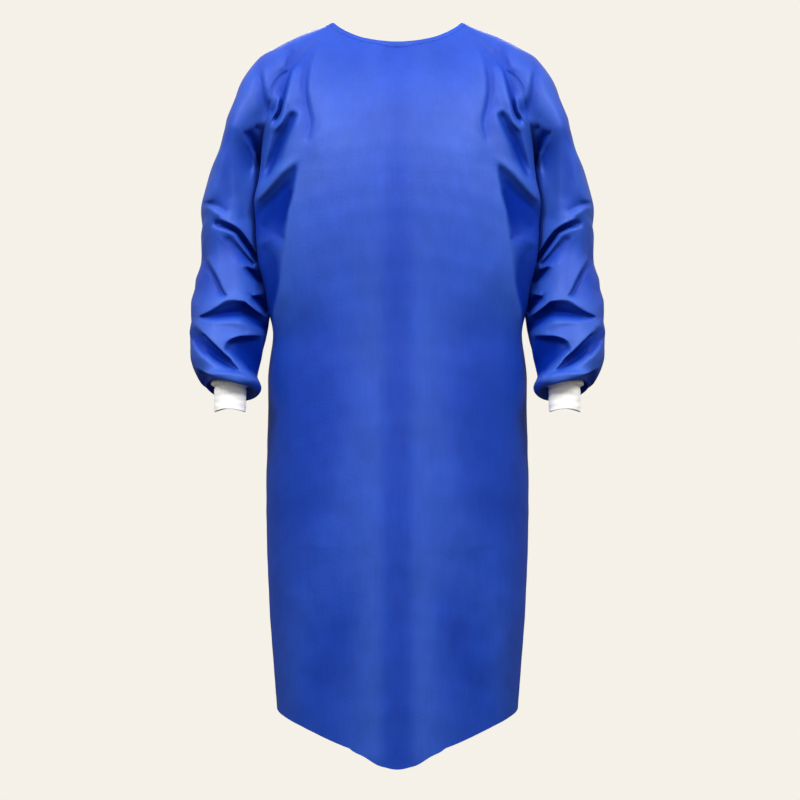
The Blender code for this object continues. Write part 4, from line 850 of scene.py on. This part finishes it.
class Net:
    """The left half of the gown as one welded net of points, so that creases run on over the seams."""

    def __init__(self):
        front = front_grid()
        back = back_grid()
        grids = {"front": front, "back": back, "sleeve": sleeve_grid(front, back)}
        self.index = {}
        total = 0
        for name, grid in grids.items():
            rows, columns = grid.shape[:2]
            self.index[name] = total + np.arange(rows * columns).reshape(rows, columns)
            total += rows * columns
        self.weld_seams()
        self.points = np.zeros((total, 3))
        for name, grid in grids.items():
            self.points[self.index[name]] = grid
        self.member = {"body": np.zeros(total, bool), "sleeve": np.zeros(total, bool)}
        for name, index in self.index.items():
            self.member["sleeve" if name == "sleeve" else "body"][index] = True
        self.member["both"] = self.member["body"] | self.member["sleeve"]
        self.tone = np.zeros(total)
        self.normals = self.measure_normals()
        self.links, self.stiffness, self.area = self.measure_links()

    def weld_seams(self):
        """Let the pieces that meet at a seam share its points."""
        front, back, sleeve = (self.index[name] for name in ("front", "back", "sleeve"))
        back[YOKE_ROWS:, 0] = front[YOKE_ROWS:, -1]
        sleeve[YOKE, 0] = front[YOKE, -1]
        sleeve[YOKE, -1] = back[YOKE, 0]
        sleeve[YOKE_ROWS:, -1] = sleeve[YOKE_ROWS:, 0]

    def measure_normals(self):
        normals = np.zeros_like(self.points)
        for index in self.index.values():
            cells = cell_normals(self.points[index]).reshape(-1, 3)
            for corner in corners(index):
                np.add.at(normals, corner.ravel(), cells)
        normals[self.index["front"][:, 0], 0] = 0.0
        return unit(normals)

    def measure_links(self):
        """Pairs of neighbouring points, how stiffly each is joined, and the cloth area at each point."""
        pairs, stiffness = [], []
        area = np.zeros(len(self.points))
        for index in self.index.values():
            grid = self.points[index]
            down = np.linalg.norm(np.diff(grid, axis=0), axis=2) + SHORTEST_SIDE
            over = np.linalg.norm(np.diff(grid, axis=1), axis=2) + SHORTEST_SIDE
            down_at_over = (np.vstack((down[:1], down)) + np.vstack((down, down[-1:])))[:, :-1] / 2
            over_at_down = (np.hstack((over[:, :1], over)) + np.hstack((over, over[:, -1:])))[:-1] / 2
            pairs.append(np.stack((index[:, :-1].ravel(), index[:, 1:].ravel())))
            stiffness.append((down_at_over / over).ravel())
            pairs.append(np.stack((index[:-1].ravel(), index[1:].ravel())))
            stiffness.append((over_at_down / down).ravel())
            cell = (over[:-1] * down[:, :-1]).ravel() / 4
            for corner in corners(index):
                np.add.at(area, corner.ravel(), cell)
        return np.hstack(pairs), np.clip(np.hstack(stiffness), 0.0, STIFFEST_LINK), area + SMALLEST_AREA

    def seen(self, name):
        """Where each point lies in a view, in millimetres, and how far the view's creases show there."""
        x, y, z = self.points.T
        if name == "front":
            scale = -EYE[1] / (y - EYE[1])
            places = (EYE[0] + (x - EYE[0]) * scale, EYE[2] + (z - EYE[2]) * scale)
        elif name == "back":
            places = (x, z)
        else:
            places = (y, z)
        view = VIEWS[name]
        facing = self.normals @ np.array(view.direction)
        shown = np.clip((facing - view.begins) / (view.full - view.begins), 0.0, 1.0)
        return np.stack(places, axis=1) * PER_METRE, shown

    def along_creases(self, creases, view):
        """Each crease of a view: its width, the points near it, and its distance, height and share there."""
        places, shown = self.seen(view)
        for (piece, crease_view), rows in creases.items():
            if crease_view != view:
                continue
            for width, *line in rows:
                line = np.array(line, float)
                low = line[:, :2].min(axis=0) - CREASE_MARGIN * width
                high = line[:, :2].max(axis=0) + CREASE_MARGIN * width
                near = np.all((places > low) & (places < high), axis=1) & (shown > 0.0) & self.member[piece]
                near = np.flatnonzero(near)
                if len(near):
                    away, height = nearest_on_line(line, places[near])
                    yield width, near, away, height * MILLIMETRE, shown[near]

    def crease_pulls(self, view):
        """At each point, how firmly a view's creases hold it, and the height they hold it to."""
        hold = np.zeros(len(self.points))
        height = np.zeros(len(self.points))
        for width, near, away, own_height, shown in self.along_creases(CREASES, view):
            pull = shown * np.exp(-(away / width) ** 2) / (width * MILLIMETRE) ** 2
            hold[near] += pull
            height[near] += pull * own_height
        return hold, np.divide(height, hold, out=np.zeros_like(height), where=hold > TINY)

    def fine_heights(self, view):
        """The small creases left from packing, laid over the large ones as narrow ridges of their own."""
        total = np.zeros(len(self.points))
        for width, near, away, own_height, shown in self.along_creases(FINE_CREASES, view):
            total[near] += shown * own_height * np.exp(-(away / width) ** 2)
        return total

    def crease_heights(self, view):
        """The smoothest heights that hold to a view's creases and die away, by conjugate gradients."""
        hold, height = self.crease_pulls(view)
        rim = self.index["sleeve"][-1]
        hold[rim] = RIM_HOLD
        height[rim] = 0.0
        own = self.area * (1.0 / CREASE_REACH ** 2 + CREASE_HOLD * hold)
        goal = self.area * CREASE_HOLD * hold * height
        a, b = self.links
        count = len(self.points)

        def apply(values):
            flow = self.stiffness * (values[a] - values[b])
            return own * values + np.bincount(a, flow, count) - np.bincount(b, flow, count)

        diagonal = own + np.bincount(a, self.stiffness, count) + np.bincount(b, self.stiffness, count)
        values = np.zeros(count)
        residual = goal.copy()
        step = residual / diagonal
        energy = residual @ step
        for _ in range(SOLVER_STEPS):
            moved = apply(step)
            size = energy / (step @ moved)
            values += size * step
            residual -= size * moved
            scaled = residual / diagonal
            new_energy = residual @ scaled
            step = scaled + step * (new_energy / energy)
            energy = new_energy
        return values + self.fine_heights(view)


def nearest_on_line(line, places):
    """Distance from each place to a line of points, and the line's height at the nearest place on it."""
    best = np.full(len(places), FAR)
    height = np.zeros(len(places))
    for start, end in zip(line, line[1:]):
        run = end[:2] - start[:2]
        t = np.clip((places - start[:2]) @ run / (run @ run), 0.0, 1.0)
        away = np.linalg.norm(places - start[:2] - t[:, None] * run, axis=1)
        closer = away < best
        best = np.where(closer, away, best)
        height = np.where(closer, start[2] + (end[2] - start[2]) * t, height)
    return best, height


def along_from(grid, axis, start):
    """Distance along a grid's lines from their first or last point."""
    steps = np.linalg.norm(np.diff(grid, axis=axis), axis=2)
    zero = np.zeros_like(np.take(steps, [0], axis=axis))
    distance = np.concatenate((zero, np.cumsum(steps, axis=axis)), axis=axis)
    if start == "last":
        distance = np.take(distance, [-1], axis=axis) - distance
    return distance


def seam_distances(net):
    """How far along its own panel each point lies from the nearest seam."""
    seam = np.full(len(net.points), FAR)
    whole = slice(None)
    for piece, start, rows in (("front", "last", whole), ("back", "first", whole),
                               ("sleeve", "first", YOKE), ("sleeve", "last", YOKE)):
        index = net.index[piece]
        distance = along_from(net.points[index], 1, start)[rows]
        np.minimum.at(seam, index[rows].ravel(), distance.ravel())
    return seam


def crumple(points):
    """A small, slow unevenness over the cloth, from a few crossing waves."""
    random = np.random.default_rng(CRUMPLE_SEED)
    total = np.zeros(len(points))
    for _ in range(CRUMPLE_WAVES):
        direction = random.normal(size=3)
        direction /= np.linalg.norm(direction)
        wave = random.uniform(*CRUMPLE_LENGTHS)
        total += np.sin(points @ direction * 2 * math.pi / wave + random.uniform(0, 2 * math.pi))
    return total * CRUMPLE / math.sqrt(CRUMPLE_WAVES)


def shape_net(net):
    """Move the net by its creases, its nudges, its seam grooves and a slow unevenness."""
    moved = net.points.copy()
    for name, view in VIEWS.items():
        heights = net.crease_heights(name)
        moved += np.array(view.direction) * heights[:, None] * view.share
        moved[:, 2] -= RIDGE_SAG * np.maximum(heights, 0.0) * view.share
        net.tone += heights * view.share
    for nudge in NUDGES:
        away = np.linalg.norm(net.points[:, [0, 2]] * PER_METRE - (nudge.x, nudge.z), axis=1)
        share = np.exp(-(away / nudge.reach) ** 2) * MILLIMETRE * net.member[nudge.moves]
        moved[:, 0] += nudge.right * share
        moved[:, 2] += nudge.up * share
    groove = -SEAM_DEPTH * np.exp(-(seam_distances(net) / SEAM_REACH) ** 2)
    moved += net.normals * (groove + crumple(net.points))[:, None]
    moved[net.index["front"][:, 0], 0] = 0.0
    return moved


def add_object(name, data):
    """A new object in the scene for a mesh, a lamp or a camera."""
    thing = bpy.data.objects.new(name, data)
    bpy.context.scene.collection.objects.link(thing)
    return thing


def add_mesh(name, points, faces, material):
    mesh = bpy.data.meshes.new(name)
    mesh.from_pydata(points, [], faces)
    mesh.materials.append(material)
    mesh.shade_smooth()
    return add_object(name, mesh)


def mark_cut_edges(mesh):
    """Keep the cut edges of a cloth sharp, so that its thickness is seen there."""
    sides = np.zeros(len(mesh.loops), np.int32)
    mesh.loops.foreach_get("edge_index", sides)
    cut = np.bincount(sides, minlength=len(mesh.edges)) == 1
    mesh.attributes.new("sharp_edge", "BOOLEAN", "EDGE").data.foreach_set("value", cut)


def flat_uv(grid):
    """Distances across and down a grid, in metres, from its middle column and first row."""
    across = along_from(grid, 1, "first")
    across = across - across[:, across.shape[1] // 2][:, None]
    return np.stack((across, along_from(grid, 0, "first")), axis=-1)


def mesh_from_grid(name, grid, flip, material, wall=SCENE_WALL, closed_rows=None, tone=None):
    """A cloth piece from a grid of points, thickened inwards by the wall, and closed into a ring from row
    closed_rows on. Tone is how far each point stands out; the cloth's painted shade and highlight follow it."""
    rows, columns = grid.shape[:2]
    index = np.arange(rows * columns).reshape(rows, columns)
    if closed_rows is not None:
        index[closed_rows:, -1] = index[closed_rows:, 0]
    quads = np.stack(corners(index), axis=-1).reshape(-1, 4)
    corner_uv = np.stack(corners(flat_uv(grid)), axis=2).reshape(-1, 4, 2)
    if flip:
        quads = quads[:, ::-1]
        corner_uv = corner_uv[:, ::-1]
    used, quads = np.unique(quads, return_inverse=True)
    piece = add_mesh(name, grid.reshape(-1, 3)[used].tolist(), quads.reshape(-1, 4).tolist(), material)
    piece.data.uv_layers.new(name="cloth").data.foreach_set("uv", corner_uv.reshape(-1))
    if tone is not None:
        fold = piece.data.attributes.new("fold", "FLOAT", "POINT")
        fold.data.foreach_set("value", tone.reshape(-1)[used].astype(np.float32))
    mark_cut_edges(piece.data)
    thicken = piece.modifiers.new("wall", "SOLIDIFY")
    thicken.thickness = wall
    thicken.offset = -1.0
    thicken.use_even_offset = False
    return piece


def mirrored(grid):
    return grid * np.array((-1.0, 1.0, 1.0))


def mirror_panel(panel):
    return Panel(mirrored(panel.grid), mirrored(panel.normals))


def panel_of(grid):
    """A left-hand grid with the outward unit normals of its points."""
    normals = np.zeros_like(grid)
    for corner in corners(normals):
        corner += cell_normals(grid)
    return Panel(grid, unit(normals))


def resampled(values, spacing):
    """Rows of values at even steps along their path, about the spacing long. The first three are a place."""
    flat = values.reshape(len(values), -1)
    travelled = np.concatenate(([0.0], np.cumsum(np.linalg.norm(np.diff(flat[:, :3], axis=0), axis=1))))
    at = np.linspace(0.0, travelled[-1], int(round(travelled[-1] / spacing)) + 1)
    columns = [np.interp(at, travelled, column) for column in flat.T]
    return np.stack(columns, axis=1).reshape(-1, *values.shape[1:])


def neck_columns(panels):
    """Points and normals down from the neckline, along it from one back edge to the other."""
    parts = []
    for panel, step in panels:
        top = np.concatenate((panel.grid[:NECK_ROWS], panel.normals[:NECK_ROWS]), axis=2)
        top = top.transpose(1, 0, 2)[::step]
        parts.append(top if not parts else top[1:])
    return resampled(np.concatenate(parts), BINDING_STEP)


def column_at(column, depth):
    """A point and normal of one neckline column at a distance below its edge."""
    down = np.concatenate(([0.0], np.cumsum(np.linalg.norm(np.diff(column[:, :3], axis=0), axis=1))))
    found = np.array([np.interp(depth, down, values) for values in column.T])
    return found[:3], found[3:] / np.linalg.norm(found[3:])


def binding_line(column, travelled):
    """The binding at one place: up the outside of the neck edge, over it, and down the inside."""
    outside = np.linspace(BINDING_WIDTH, 0.0, BINDING_LEG_POINTS)
    phase = 2 * math.pi * travelled / PUCKER_SPACING + PUCKER_DRIFT * math.sin(travelled * PUCKER_DRIFT_RATE)
    pucker = BINDING_PUCKER * math.sin(phase)
    line = []
    for depth in outside:
        point, normal = column_at(column, depth)
        dent = STITCH_DENT * math.exp(-((depth - STITCH_DEPTH) / STITCH_DENT_REACH) ** 2)
        line.append(point + normal * (BINDING_STAND + pucker * depth / BINDING_WIDTH - dent))
    edge, normal = column_at(column, 0.0)
    up = column[0, :3] - column[1, :3]
    up /= np.linalg.norm(up)
    middle = edge - normal * SCENE_WALL / 2
    half = (SCENE_WALL + 2 * BINDING_STAND) / 2
    over = np.linspace(0.0, math.pi, BINDING_TURN_POINTS + 2)[1:-1]
    line += [middle + normal * half * math.cos(turn) + up * half * math.sin(turn) for turn in over]
    for depth in outside[::-1]:
        point, normal = column_at(column, depth)
        line.append(point - normal * (SCENE_WALL + BINDING_STAND))
    return line


def stitch_points(middle, along, across, normal):
    """The six tips of one stitch, a small raised lozenge."""
    tips = []
    for direction, length in ((along, STITCH_LENGTH), (across, STITCH_WIDTH), (normal, -STITCH_WIDTH)):
        tips += [middle - direction * length / 2, middle + direction * length / 2]
    return tips


def add_stitches(name, columns, material):
    """A row of short stitches along the binding."""
    points, faces = [], []
    per_stitch = int(round(STITCH_SPACING / BINDING_STEP))
    for place in range(per_stitch, len(columns) - per_stitch, per_stitch):
        middle, normal = column_at(columns[place], STITCH_DEPTH)
        ahead, _ = column_at(columns[place + 1], STITCH_DEPTH)
        along = (ahead - middle) / np.linalg.norm(ahead - middle)
        middle = middle + normal * (BINDING_STAND - STITCH_DENT)
        first = len(points)
        points += stitch_points(middle, along, np.cross(normal, along), normal)
        for a, b in ((0, 2), (2, 1), (1, 3), (3, 0)):
            faces += [(first + a, first + b, first + 4), (first + b, first + a, first + 5)]
    return add_mesh(name, [tuple(point) for point in points], faces, material)


def cuff_grid(ring, side):
    """A knit cuff: a loose sewn band at its top, then a ribbed tube whose lower edge is folded under."""
    tilt = math.radians(CUFF_TILT)
    axis = np.array((0.0, -math.sin(tilt), -math.cos(tilt)))
    forward = np.array((0.0, -math.cos(tilt), math.sin(tilt)))
    sideways = np.array((float(side), 0.0, 0.0))
    centre = (ring[0] + ring[len(ring) // 2]) / 2
    profile = read_rows(CUFF_PROFILE, np.linspace(0.0, CUFF_PROFILE[-1].station, CUFF_ROWS + 1))
    turn = np.linspace(0.0, 2 * math.pi, CUFF_RIBS * POINTS_PER_RIB + 1)[None, :]
    rib = np.cos(turn * CUFF_RIBS) * RIB_HEIGHT * profile.ribbed
    ruffle_phase = turn * RUFFLES + RUFFLE_DRIFT * np.sin(turn * RUFFLE_DRIFT_TURNS)
    ruffle = np.sin(ruffle_phase) * RUFFLE_HEIGHT * profile.ruffled
    slack_drift = SLACK_DRIFT * np.sin(turn * SLACK_DRIFT_TURNS + SLACK_DRIFT_START)
    slack_phase = profile.drop / SLACK_SPACING * 2 * math.pi + slack_drift
    radius = profile.radius + rib + ruffle + SLACK_HEIGHT * profile.ribbed * np.sin(slack_phase)
    low = profile.drop / CUFF_LENGTH
    level = profile.radius * math.tan(tilt) * np.sin(turn)
    drop = profile.drop + low * (CUFF_SAG * np.cos(2 * turn) + level) + ruffle * RUFFLE_DROP
    around = sideways * -np.cos(turn)[..., None] + forward * np.sin(turn)[..., None]
    return centre + axis * drop[..., None] + around * radius[..., None]


def place_on_back(backs, station, x):
    """A place on the outside of the back, on whichever panel lies outermost there, and the way it faces."""
    edge = -BACK_EDGE_AT_NECK - (BACK_EDGE_AT_HEM - BACK_EDGE_AT_NECK) * station / HEM
    grid, normals = backs["left"] if x > edge else backs["right"]
    stations = body_stations()
    row = int(np.searchsorted(stations, station) - 1)
    share = (station - stations[row]) / (stations[row + 1] - stations[row])
    found = []
    for r in (row, row + 1):
        order = np.argsort(grid[r, :, 0])
        values = np.concatenate((grid[r], normals[r]), axis=1)[order]
        found.append(np.array([np.interp(x, values[:, 0], column) for column in values.T]))
    mixed = found[0] * (1 - share) + found[1] * share
    return mixed[:3], mixed[3:] / np.linalg.norm(mixed[3:])


def tie_path(tie):
    """Stations and x along a tape: from its root to its knot, down round the turn, and down its tail."""
    toward = math.copysign(1.0, tie.tail_x - tie.root_x)
    straight = tie.tail_x - toward * TIE_TURN
    across = [(tie.station, tie.root_x + (straight - tie.root_x) * t)
              for t in np.linspace(0.0, 1.0, ROOT_POINTS)]
    turning = [(tie.station + TIE_TURN * (1 - math.cos(a)), straight + toward * TIE_TURN * math.sin(a))
               for a in np.linspace(0.0, math.pi / 2, TURN_POINTS)[1:]]
    hanging = [(tie.station + TIE_TURN + tie.tail * t,
                tie.tail_x + tie.tail_lean * t + TAIL_SWAY * math.sin(TAIL_BENDS * t) * t)
               for t in np.linspace(0.0, 1.0, TAIL_POINTS)[1:]]
    return across + turning + hanging


def tape_line(backs, tie):
    """Along a tape: its middle, the way it faces, its width, and how near it is to the knot."""
    knot = ROOT_POINTS + (TURN_POINTS - 1) // 2
    line = []
    for i, (station, x) in enumerate(tie_path(tie)):
        point, normal = place_on_back(backs, station, x)
        near_knot = math.exp(-((i - knot) / KNOT_SPREAD) ** 2)
        risen = smooth_step((i - RISE_START) / RISE_POINTS) if tie.lift > OVER_LIFT else 0.0
        base = TIE_CLEAR + (tie.lift - TIE_CLEAR) * risen if i < knot else tie.lift
        settled = smooth_step((i - knot) / SETTLE_POINTS) if i > knot else 0.0
        lift = base + (TAIL_LIFT - base) * settled + KNOT_TAPE_LIFT * near_knot
        width = TIE_WIDTH * (1 - KNOT_NARROWING * near_knot)
        line.append((*(point + normal * lift), *normal, width, near_knot))
    return np.array(line)


def tie_grid(backs, tie):
    """A tape sewn on at its root, running to its knot, turning down there and hanging as a tail."""
    line = tape_line(backs, tie)
    along = np.gradient(line[:, :3], axis=0)
    sideways = np.cross(line[:, 3:6], along)
    sideways /= np.linalg.norm(sideways, axis=1, keepdims=True)
    spread = np.linspace(-1.0, 1.0, TAPE_COLUMNS + 1)[None, :, None]
    cup = -(spread ** 2) * (TAPE_CUP + KNOT_CUP * line[:, 7])[:, None, None]
    return (line[:, None, :3] + sideways[:, None] * spread * line[:, 6][:, None, None] / 2
            + line[:, None, 3:6] * cup)


def knot_grid(backs, tie, other, side):
    """One of a knot's two wraps: a band of tape round both tapes, leaning to its own side."""
    middle_x = (tie.tail_x + other.tail_x) / 2
    centre, normal = place_on_back(backs, tie.station + TIE_TURN / 2, middle_x)
    right = np.array((1.0, 0.0, 0.0))
    up = np.cross(normal, right)
    up *= math.copysign(1.0, up[2])
    lean = math.radians(WRAP_LEAN) * side
    axis = right * math.cos(lean) + up * math.sin(lean)
    rise = up * math.cos(lean) - right * math.sin(lean)
    centre = centre + normal * KNOT_LIFT + right * side * WRAP_OFFSET
    turn = np.linspace(0.0, 2 * math.pi, WRAP_POINTS + 1)[:, None]
    spread = np.linspace(-1.0, 1.0, TAPE_COLUMNS + 1)[None, :]
    swell = 1.0 - WRAP_CROWN * spread ** 2
    out = WRAP_DEPTH * np.sin(turn) * swell
    high = WRAP_HEIGHT * np.cos(turn) * swell
    wide = spread * WRAP_WIDTH / 2 * np.ones_like(turn)
    return centre + axis * wide[..., None] + normal * out[..., None] + rise * high[..., None]


def gown_panels(moved, index):
    """The panels of the left and the right side. The left back panel lies over the right one."""
    front = panel_of(moved[index["front"]])
    sleeve = panel_of(moved[index["sleeve"]])
    back = panel_of(moved[index["back"]])
    past_start = OVERLAP_START - back_across(back_rows())
    overlap = smooth_step(past_start / (OVERLAP_START - OVERLAP_FULL))[..., None]
    over = panel_of(back.grid + back.normals * OVER_LIFT * overlap)
    under = panel_of(back.grid + back.normals * UNDER_LIFT * overlap)
    left = {"front": front, "sleeve": sleeve, "back": over}
    right = {"front": mirror_panel(front), "sleeve": mirror_panel(sleeve), "back": mirror_panel(under)}
    return left, right


def across_middle(left, right):
    """A whole panel's rows from its two halves, which share their middle column."""
    return np.concatenate((right[:, :0:-1], left), axis=1)


def add_cloths(left, right, tone, material):
    """The front, the two back panels and the two sleeves."""
    front = across_middle(left["front"].grid, right["front"].grid)
    front_tone = across_middle(tone["front"], tone["front"])
    yield mesh_from_grid("front_cloth", front, True, material, tone=front_tone)
    for piece, closed_rows in (("back", None), ("sleeve", YOKE_ROWS)):
        for side, panels in zip(SIDES, (left, right)):
            yield mesh_from_grid(f"{piece}_cloth_{side}", panels[piece].grid, side == "left", material,
                                 closed_rows=closed_rows, tone=tone[piece])


def add_neck(left, right, material):
    """The binding round the neckline, and its row of stitches."""
    panels = [(left[name], -1) for name in ("back", "sleeve", "front")]
    panels += [(right[name], 1) for name in ("front", "sleeve", "back")]
    columns = neck_columns(panels)
    binding = np.array([binding_line(column, place * BINDING_STEP) for place, column in enumerate(columns)])
    yield mesh_from_grid("neck_band", binding, False, material, wall=BINDING_WALL)
    yield add_stitches("neck_band_stitches", columns, material)


def add_cuffs(left, right, material):
    for side, label, panels in ((1, "left", left), (-1, "right", right)):
        knit = cuff_grid(panels["sleeve"].grid[-1, :-1], side)
        yield mesh_from_grid(f"knit_cuff_{label}", knit, side > 0, material, wall=CUFF_WALL, closed_rows=0)


def add_ties(left, right, material):
    """The four tapes, and the two wraps of each pair's knot."""
    backs = {"left": left["back"], "right": right["back"]}
    for tie in TIES:
        yield mesh_from_grid(tie.name, tie_grid(backs, tie), False, material, wall=TIE_WALL)
    for tie, other in zip(TIES[::2], TIES[1::2]):
        for side, label in ((1, "left"), (-1, "right")):
            name = tie.name.replace("tape_left", f"knot_wrap_{label}")
            yield mesh_from_grid(name, knot_grid(backs, tie, other, side), True, material, wall=TIE_WALL)


def add_parts():
    """Every piece of the gown, by its name."""
    net = Net()
    left, right = gown_panels(shape_net(net), net.index)
    tone = {name: net.tone[index] for name, index in net.index.items()}
    blue = cloth_material()
    white = knit_material()
    pieces = [*add_cloths(left, right, tone, blue), *add_neck(left, right, blue),
              *add_cuffs(left, right, white), *add_ties(left, right, blue)]
    return {piece.name: piece for piece in pieces}


def set_inputs(tree, node, inputs):
    """Give each input of a node its value, or link it from the socket given."""
    for name, source in inputs.items():
        if isinstance(source, bpy.types.NodeSocket):
            tree.links.new(source, node.inputs[name])
        else:
            node.inputs[name].default_value = source


def add_node(tree, kind, inputs, **settings):
    node = tree.nodes.new("ShaderNode" + kind)
    for name, setting in settings.items():
        setattr(node, name, setting)
    set_inputs(tree, node, inputs)
    return node.outputs


def add_range(tree, value, source, target):
    """A value moved from one range to another, and held at its ends."""
    ends = {"From Min": source[0], "From Max": source[1], "To Min": target[0], "To Max": target[1]}
    return add_node(tree, "MapRange", {"Value": value, **ends})["Result"]


def add_noise(tree, place, scale, detail):
    return add_node(tree, "TexNoise", {"Vector": place, "Scale": scale, "Detail": detail})["Fac"]


def add_bump(tree, height, strength, distance):
    return add_node(tree, "Bump", {"Height": height, "Strength": strength, "Distance": distance})["Normal"]


def new_material(name):
    """A new material, its tree of nodes, and its shader."""
    material = bpy.data.materials.new(name)
    material.use_nodes = True
    return material, material.node_tree, material.node_tree.nodes["Principled BSDF"]


def add_painted_crease_light(tree, fold):
    """The cloth's blue by how far a point stands out: painted shade in the troughs, a painted highlight along the
    ridges.
    """
    spread = add_range(tree, fold, (TROUGH_DEPTH, RIDGE_HEIGHT), (0.0, 1.0))
    tone = add_node(tree, "ValToRGB", {"Fac": spread})["Color"]
    stops = tone.node.color_ramp.elements
    # Painted shade at the troughs' end of the ramp, a painted highlight at the ridges' end, the cloth's own blue
    # between.
    stops[0].color = (*TROUGH_PAINTED_SHADE_BLUE, 1.0)
    stops[1].color = (*RIDGE_PAINTED_HIGHLIGHT_BLUE, 1.0)
    stops.new(-TROUGH_DEPTH / (RIDGE_HEIGHT - TROUGH_DEPTH)).color = (*GOWN_BLUE, 1.0)
    return tone


def cloth_material():
    """Non-woven cloth: a painted highlight along its ridges, painted shade in its troughs, cloudy, streaky and finely
    embossed.
    """
    material, tree, shader = new_material("gown_nonwoven")
    fold = add_node(tree, "Attribute", {}, attribute_name="fold")["Fac"]
    place = add_node(tree, "TexCoord", {})["Object"]
    clouds = add_noise(tree, place, CLOUD_SCALE, CLOUD_DETAIL)
    stretched = add_node(tree, "VectorMath", {0: place, 1: STREAK_STRETCH}, operation="MULTIPLY")["Vector"]
    streaks = add_noise(tree, stretched, STREAK_SCALE, STREAK_DETAIL)
    shades = {0: add_range(tree, clouds, NOISE_RANGE, CLOUD_SHADES),
              1: add_range(tree, streaks, NOISE_RANGE, STREAK_SHADES)}
    shade = add_node(tree, "Math", shades, operation="MULTIPLY")["Value"]
    shaded = {0: add_painted_crease_light(tree, fold), "Scale": shade}
    fibres = add_noise(tree, place, FIBRE_SCALE, FIBRE_DETAIL)
    set_inputs(tree, shader, {
        "Base Color": add_node(tree, "VectorMath", shaded, operation="SCALE")["Vector"],
        "Roughness": CLOTH_ROUGHNESS,
        # Gloss is turned down in the troughs, darkening them further along with the painted shade.
        "Specular IOR Level": add_range(tree, fold, GLOSS_RANGE, GLOSS),
        "Normal": add_bump(tree, fibres, FIBRE_BUMP, FIBRE_HEIGHT),
    })
    return material


def knit_material():
    """White rib knit: fine courses of stitches as bump, and a slightly greyer tone between them."""
    material, tree, shader = new_material("cuff_rib_knit")
    inputs = {"Vector": add_node(tree, "TexCoord", {})["UV"], "Scale": KNIT_COURSES,
              "Distortion": KNIT_DISTORTION, "Detail": KNIT_DETAIL}
    courses = add_node(tree, "TexWave", inputs, bands_direction="Y")["Fac"]
    tone = add_node(tree, "ValToRGB", {"Fac": courses})["Color"]
    stops = tone.node.color_ramp.elements
    stops[0].color = (*[part * KNIT_SHADE for part in KNIT_WHITE], 1.0)
    stops[1].color = (*KNIT_WHITE, 1.0)
    set_inputs(tree, shader, {
        "Base Color": tone,
        "Roughness": KNIT_ROUGHNESS,
        "Specular IOR Level": KNIT_GLOSS,
        "Normal": add_bump(tree, courses, KNIT_BUMP, KNIT_HEIGHT),
    })
    return material


def add_world():
    """A dome of light that is brighter above, and behind the gown the background's plain colour."""
    world = bpy.data.worlds.new("studio")
    bpy.context.scene.world = world
    world.use_nodes = True
    tree = world.node_tree
    generated = add_node(tree, "TexCoord", {})["Generated"]
    height = add_node(tree, "SeparateXYZ", {"Vector": generated})["Z"]
    strength = add_range(tree, height, DOME_HEIGHTS, DOME_STRENGTHS)
    dome = tree.nodes["Background"]
    set_inputs(tree, dome, {"Color": BACKGROUND, "Strength": strength})
    plain = add_node(tree, "Background", {"Color": BACKGROUND})["Background"]
    from_camera = add_node(tree, "LightPath", {})["Is Camera Ray"]
    shaders = {"Fac": from_camera, 1: dome.outputs["Background"], 2: plain}
    mixed = add_node(tree, "MixShader", shaders)["Shader"]
    set_inputs(tree, tree.nodes["World Output"], {"Surface": mixed})


def add_floor():
    """A wide floor that glows in the background's colour, so that the two can't be told apart."""
    material, tree, _ = new_material("pale_floor")
    glow = add_node(tree, "Emission", {"Color": BACKGROUND})["Emission"]
    set_inputs(tree, tree.nodes["Material Output"], {"Surface": glow})
    points = [(x * FLOOR_SIZE, y * FLOOR_SIZE, FLOOR) for x, y in ((-1, -1), (1, -1), (1, 1), (-1, 1))]
    floor = add_mesh("floor", points, [(0, 1, 2, 3)], material)
    floor.visible_diffuse = False
    floor.visible_glossy = False
    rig.stage(floor)


def add_lights():
    for name, place, aim, size, power in LIGHTS:
        light = bpy.data.lights.new(name, "AREA")
        light.shape = "DISK"
        light.size = size
        light.energy = power
        lamp = add_object(name, light)
        lamp.location = place
        lamp.rotation_euler = Vector(np.array(aim) - np.array(place)).to_track_quat("-Z", "Y").to_euler()


def add_camera():
    camera = bpy.data.cameras.new("photo_view")
    camera.sensor_width = SENSOR
    camera.lens = SENSOR * FOCAL_PIXELS / IMAGE_PIXELS
    holder = add_object("photo_view", camera)
    holder.location = EYE
    holder.rotation_euler = (math.pi / 2, 0.0, 0.0)
    bpy.context.scene.camera = holder
    bpy.context.scene.view_settings.view_transform = "Standard"


shells = add_parts()
add_world()
add_floor()
add_lights()
add_camera()
for shell in shells.values():
    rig.ride(shell, "root")
for piece in PIECES:
    shell = shells[piece.name]
    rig.replaces(shell, piece.node)
    for part in [shell] + [shells[name] for name in piece.goes_with]:
        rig.slot(part, piece.slot)
    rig.sheet(shell, flat=(piece.width, piece.length), held=piece.held, rests_on=piece.rests_on, area=piece.area,
             with_pieces=piece.goes_with)

with open("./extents.json", "w") as size_file:
    json.dump({"cad": [list(corner) for corner in cad_box], "visual": [list(corner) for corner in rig.bounds()]},
              size_file)
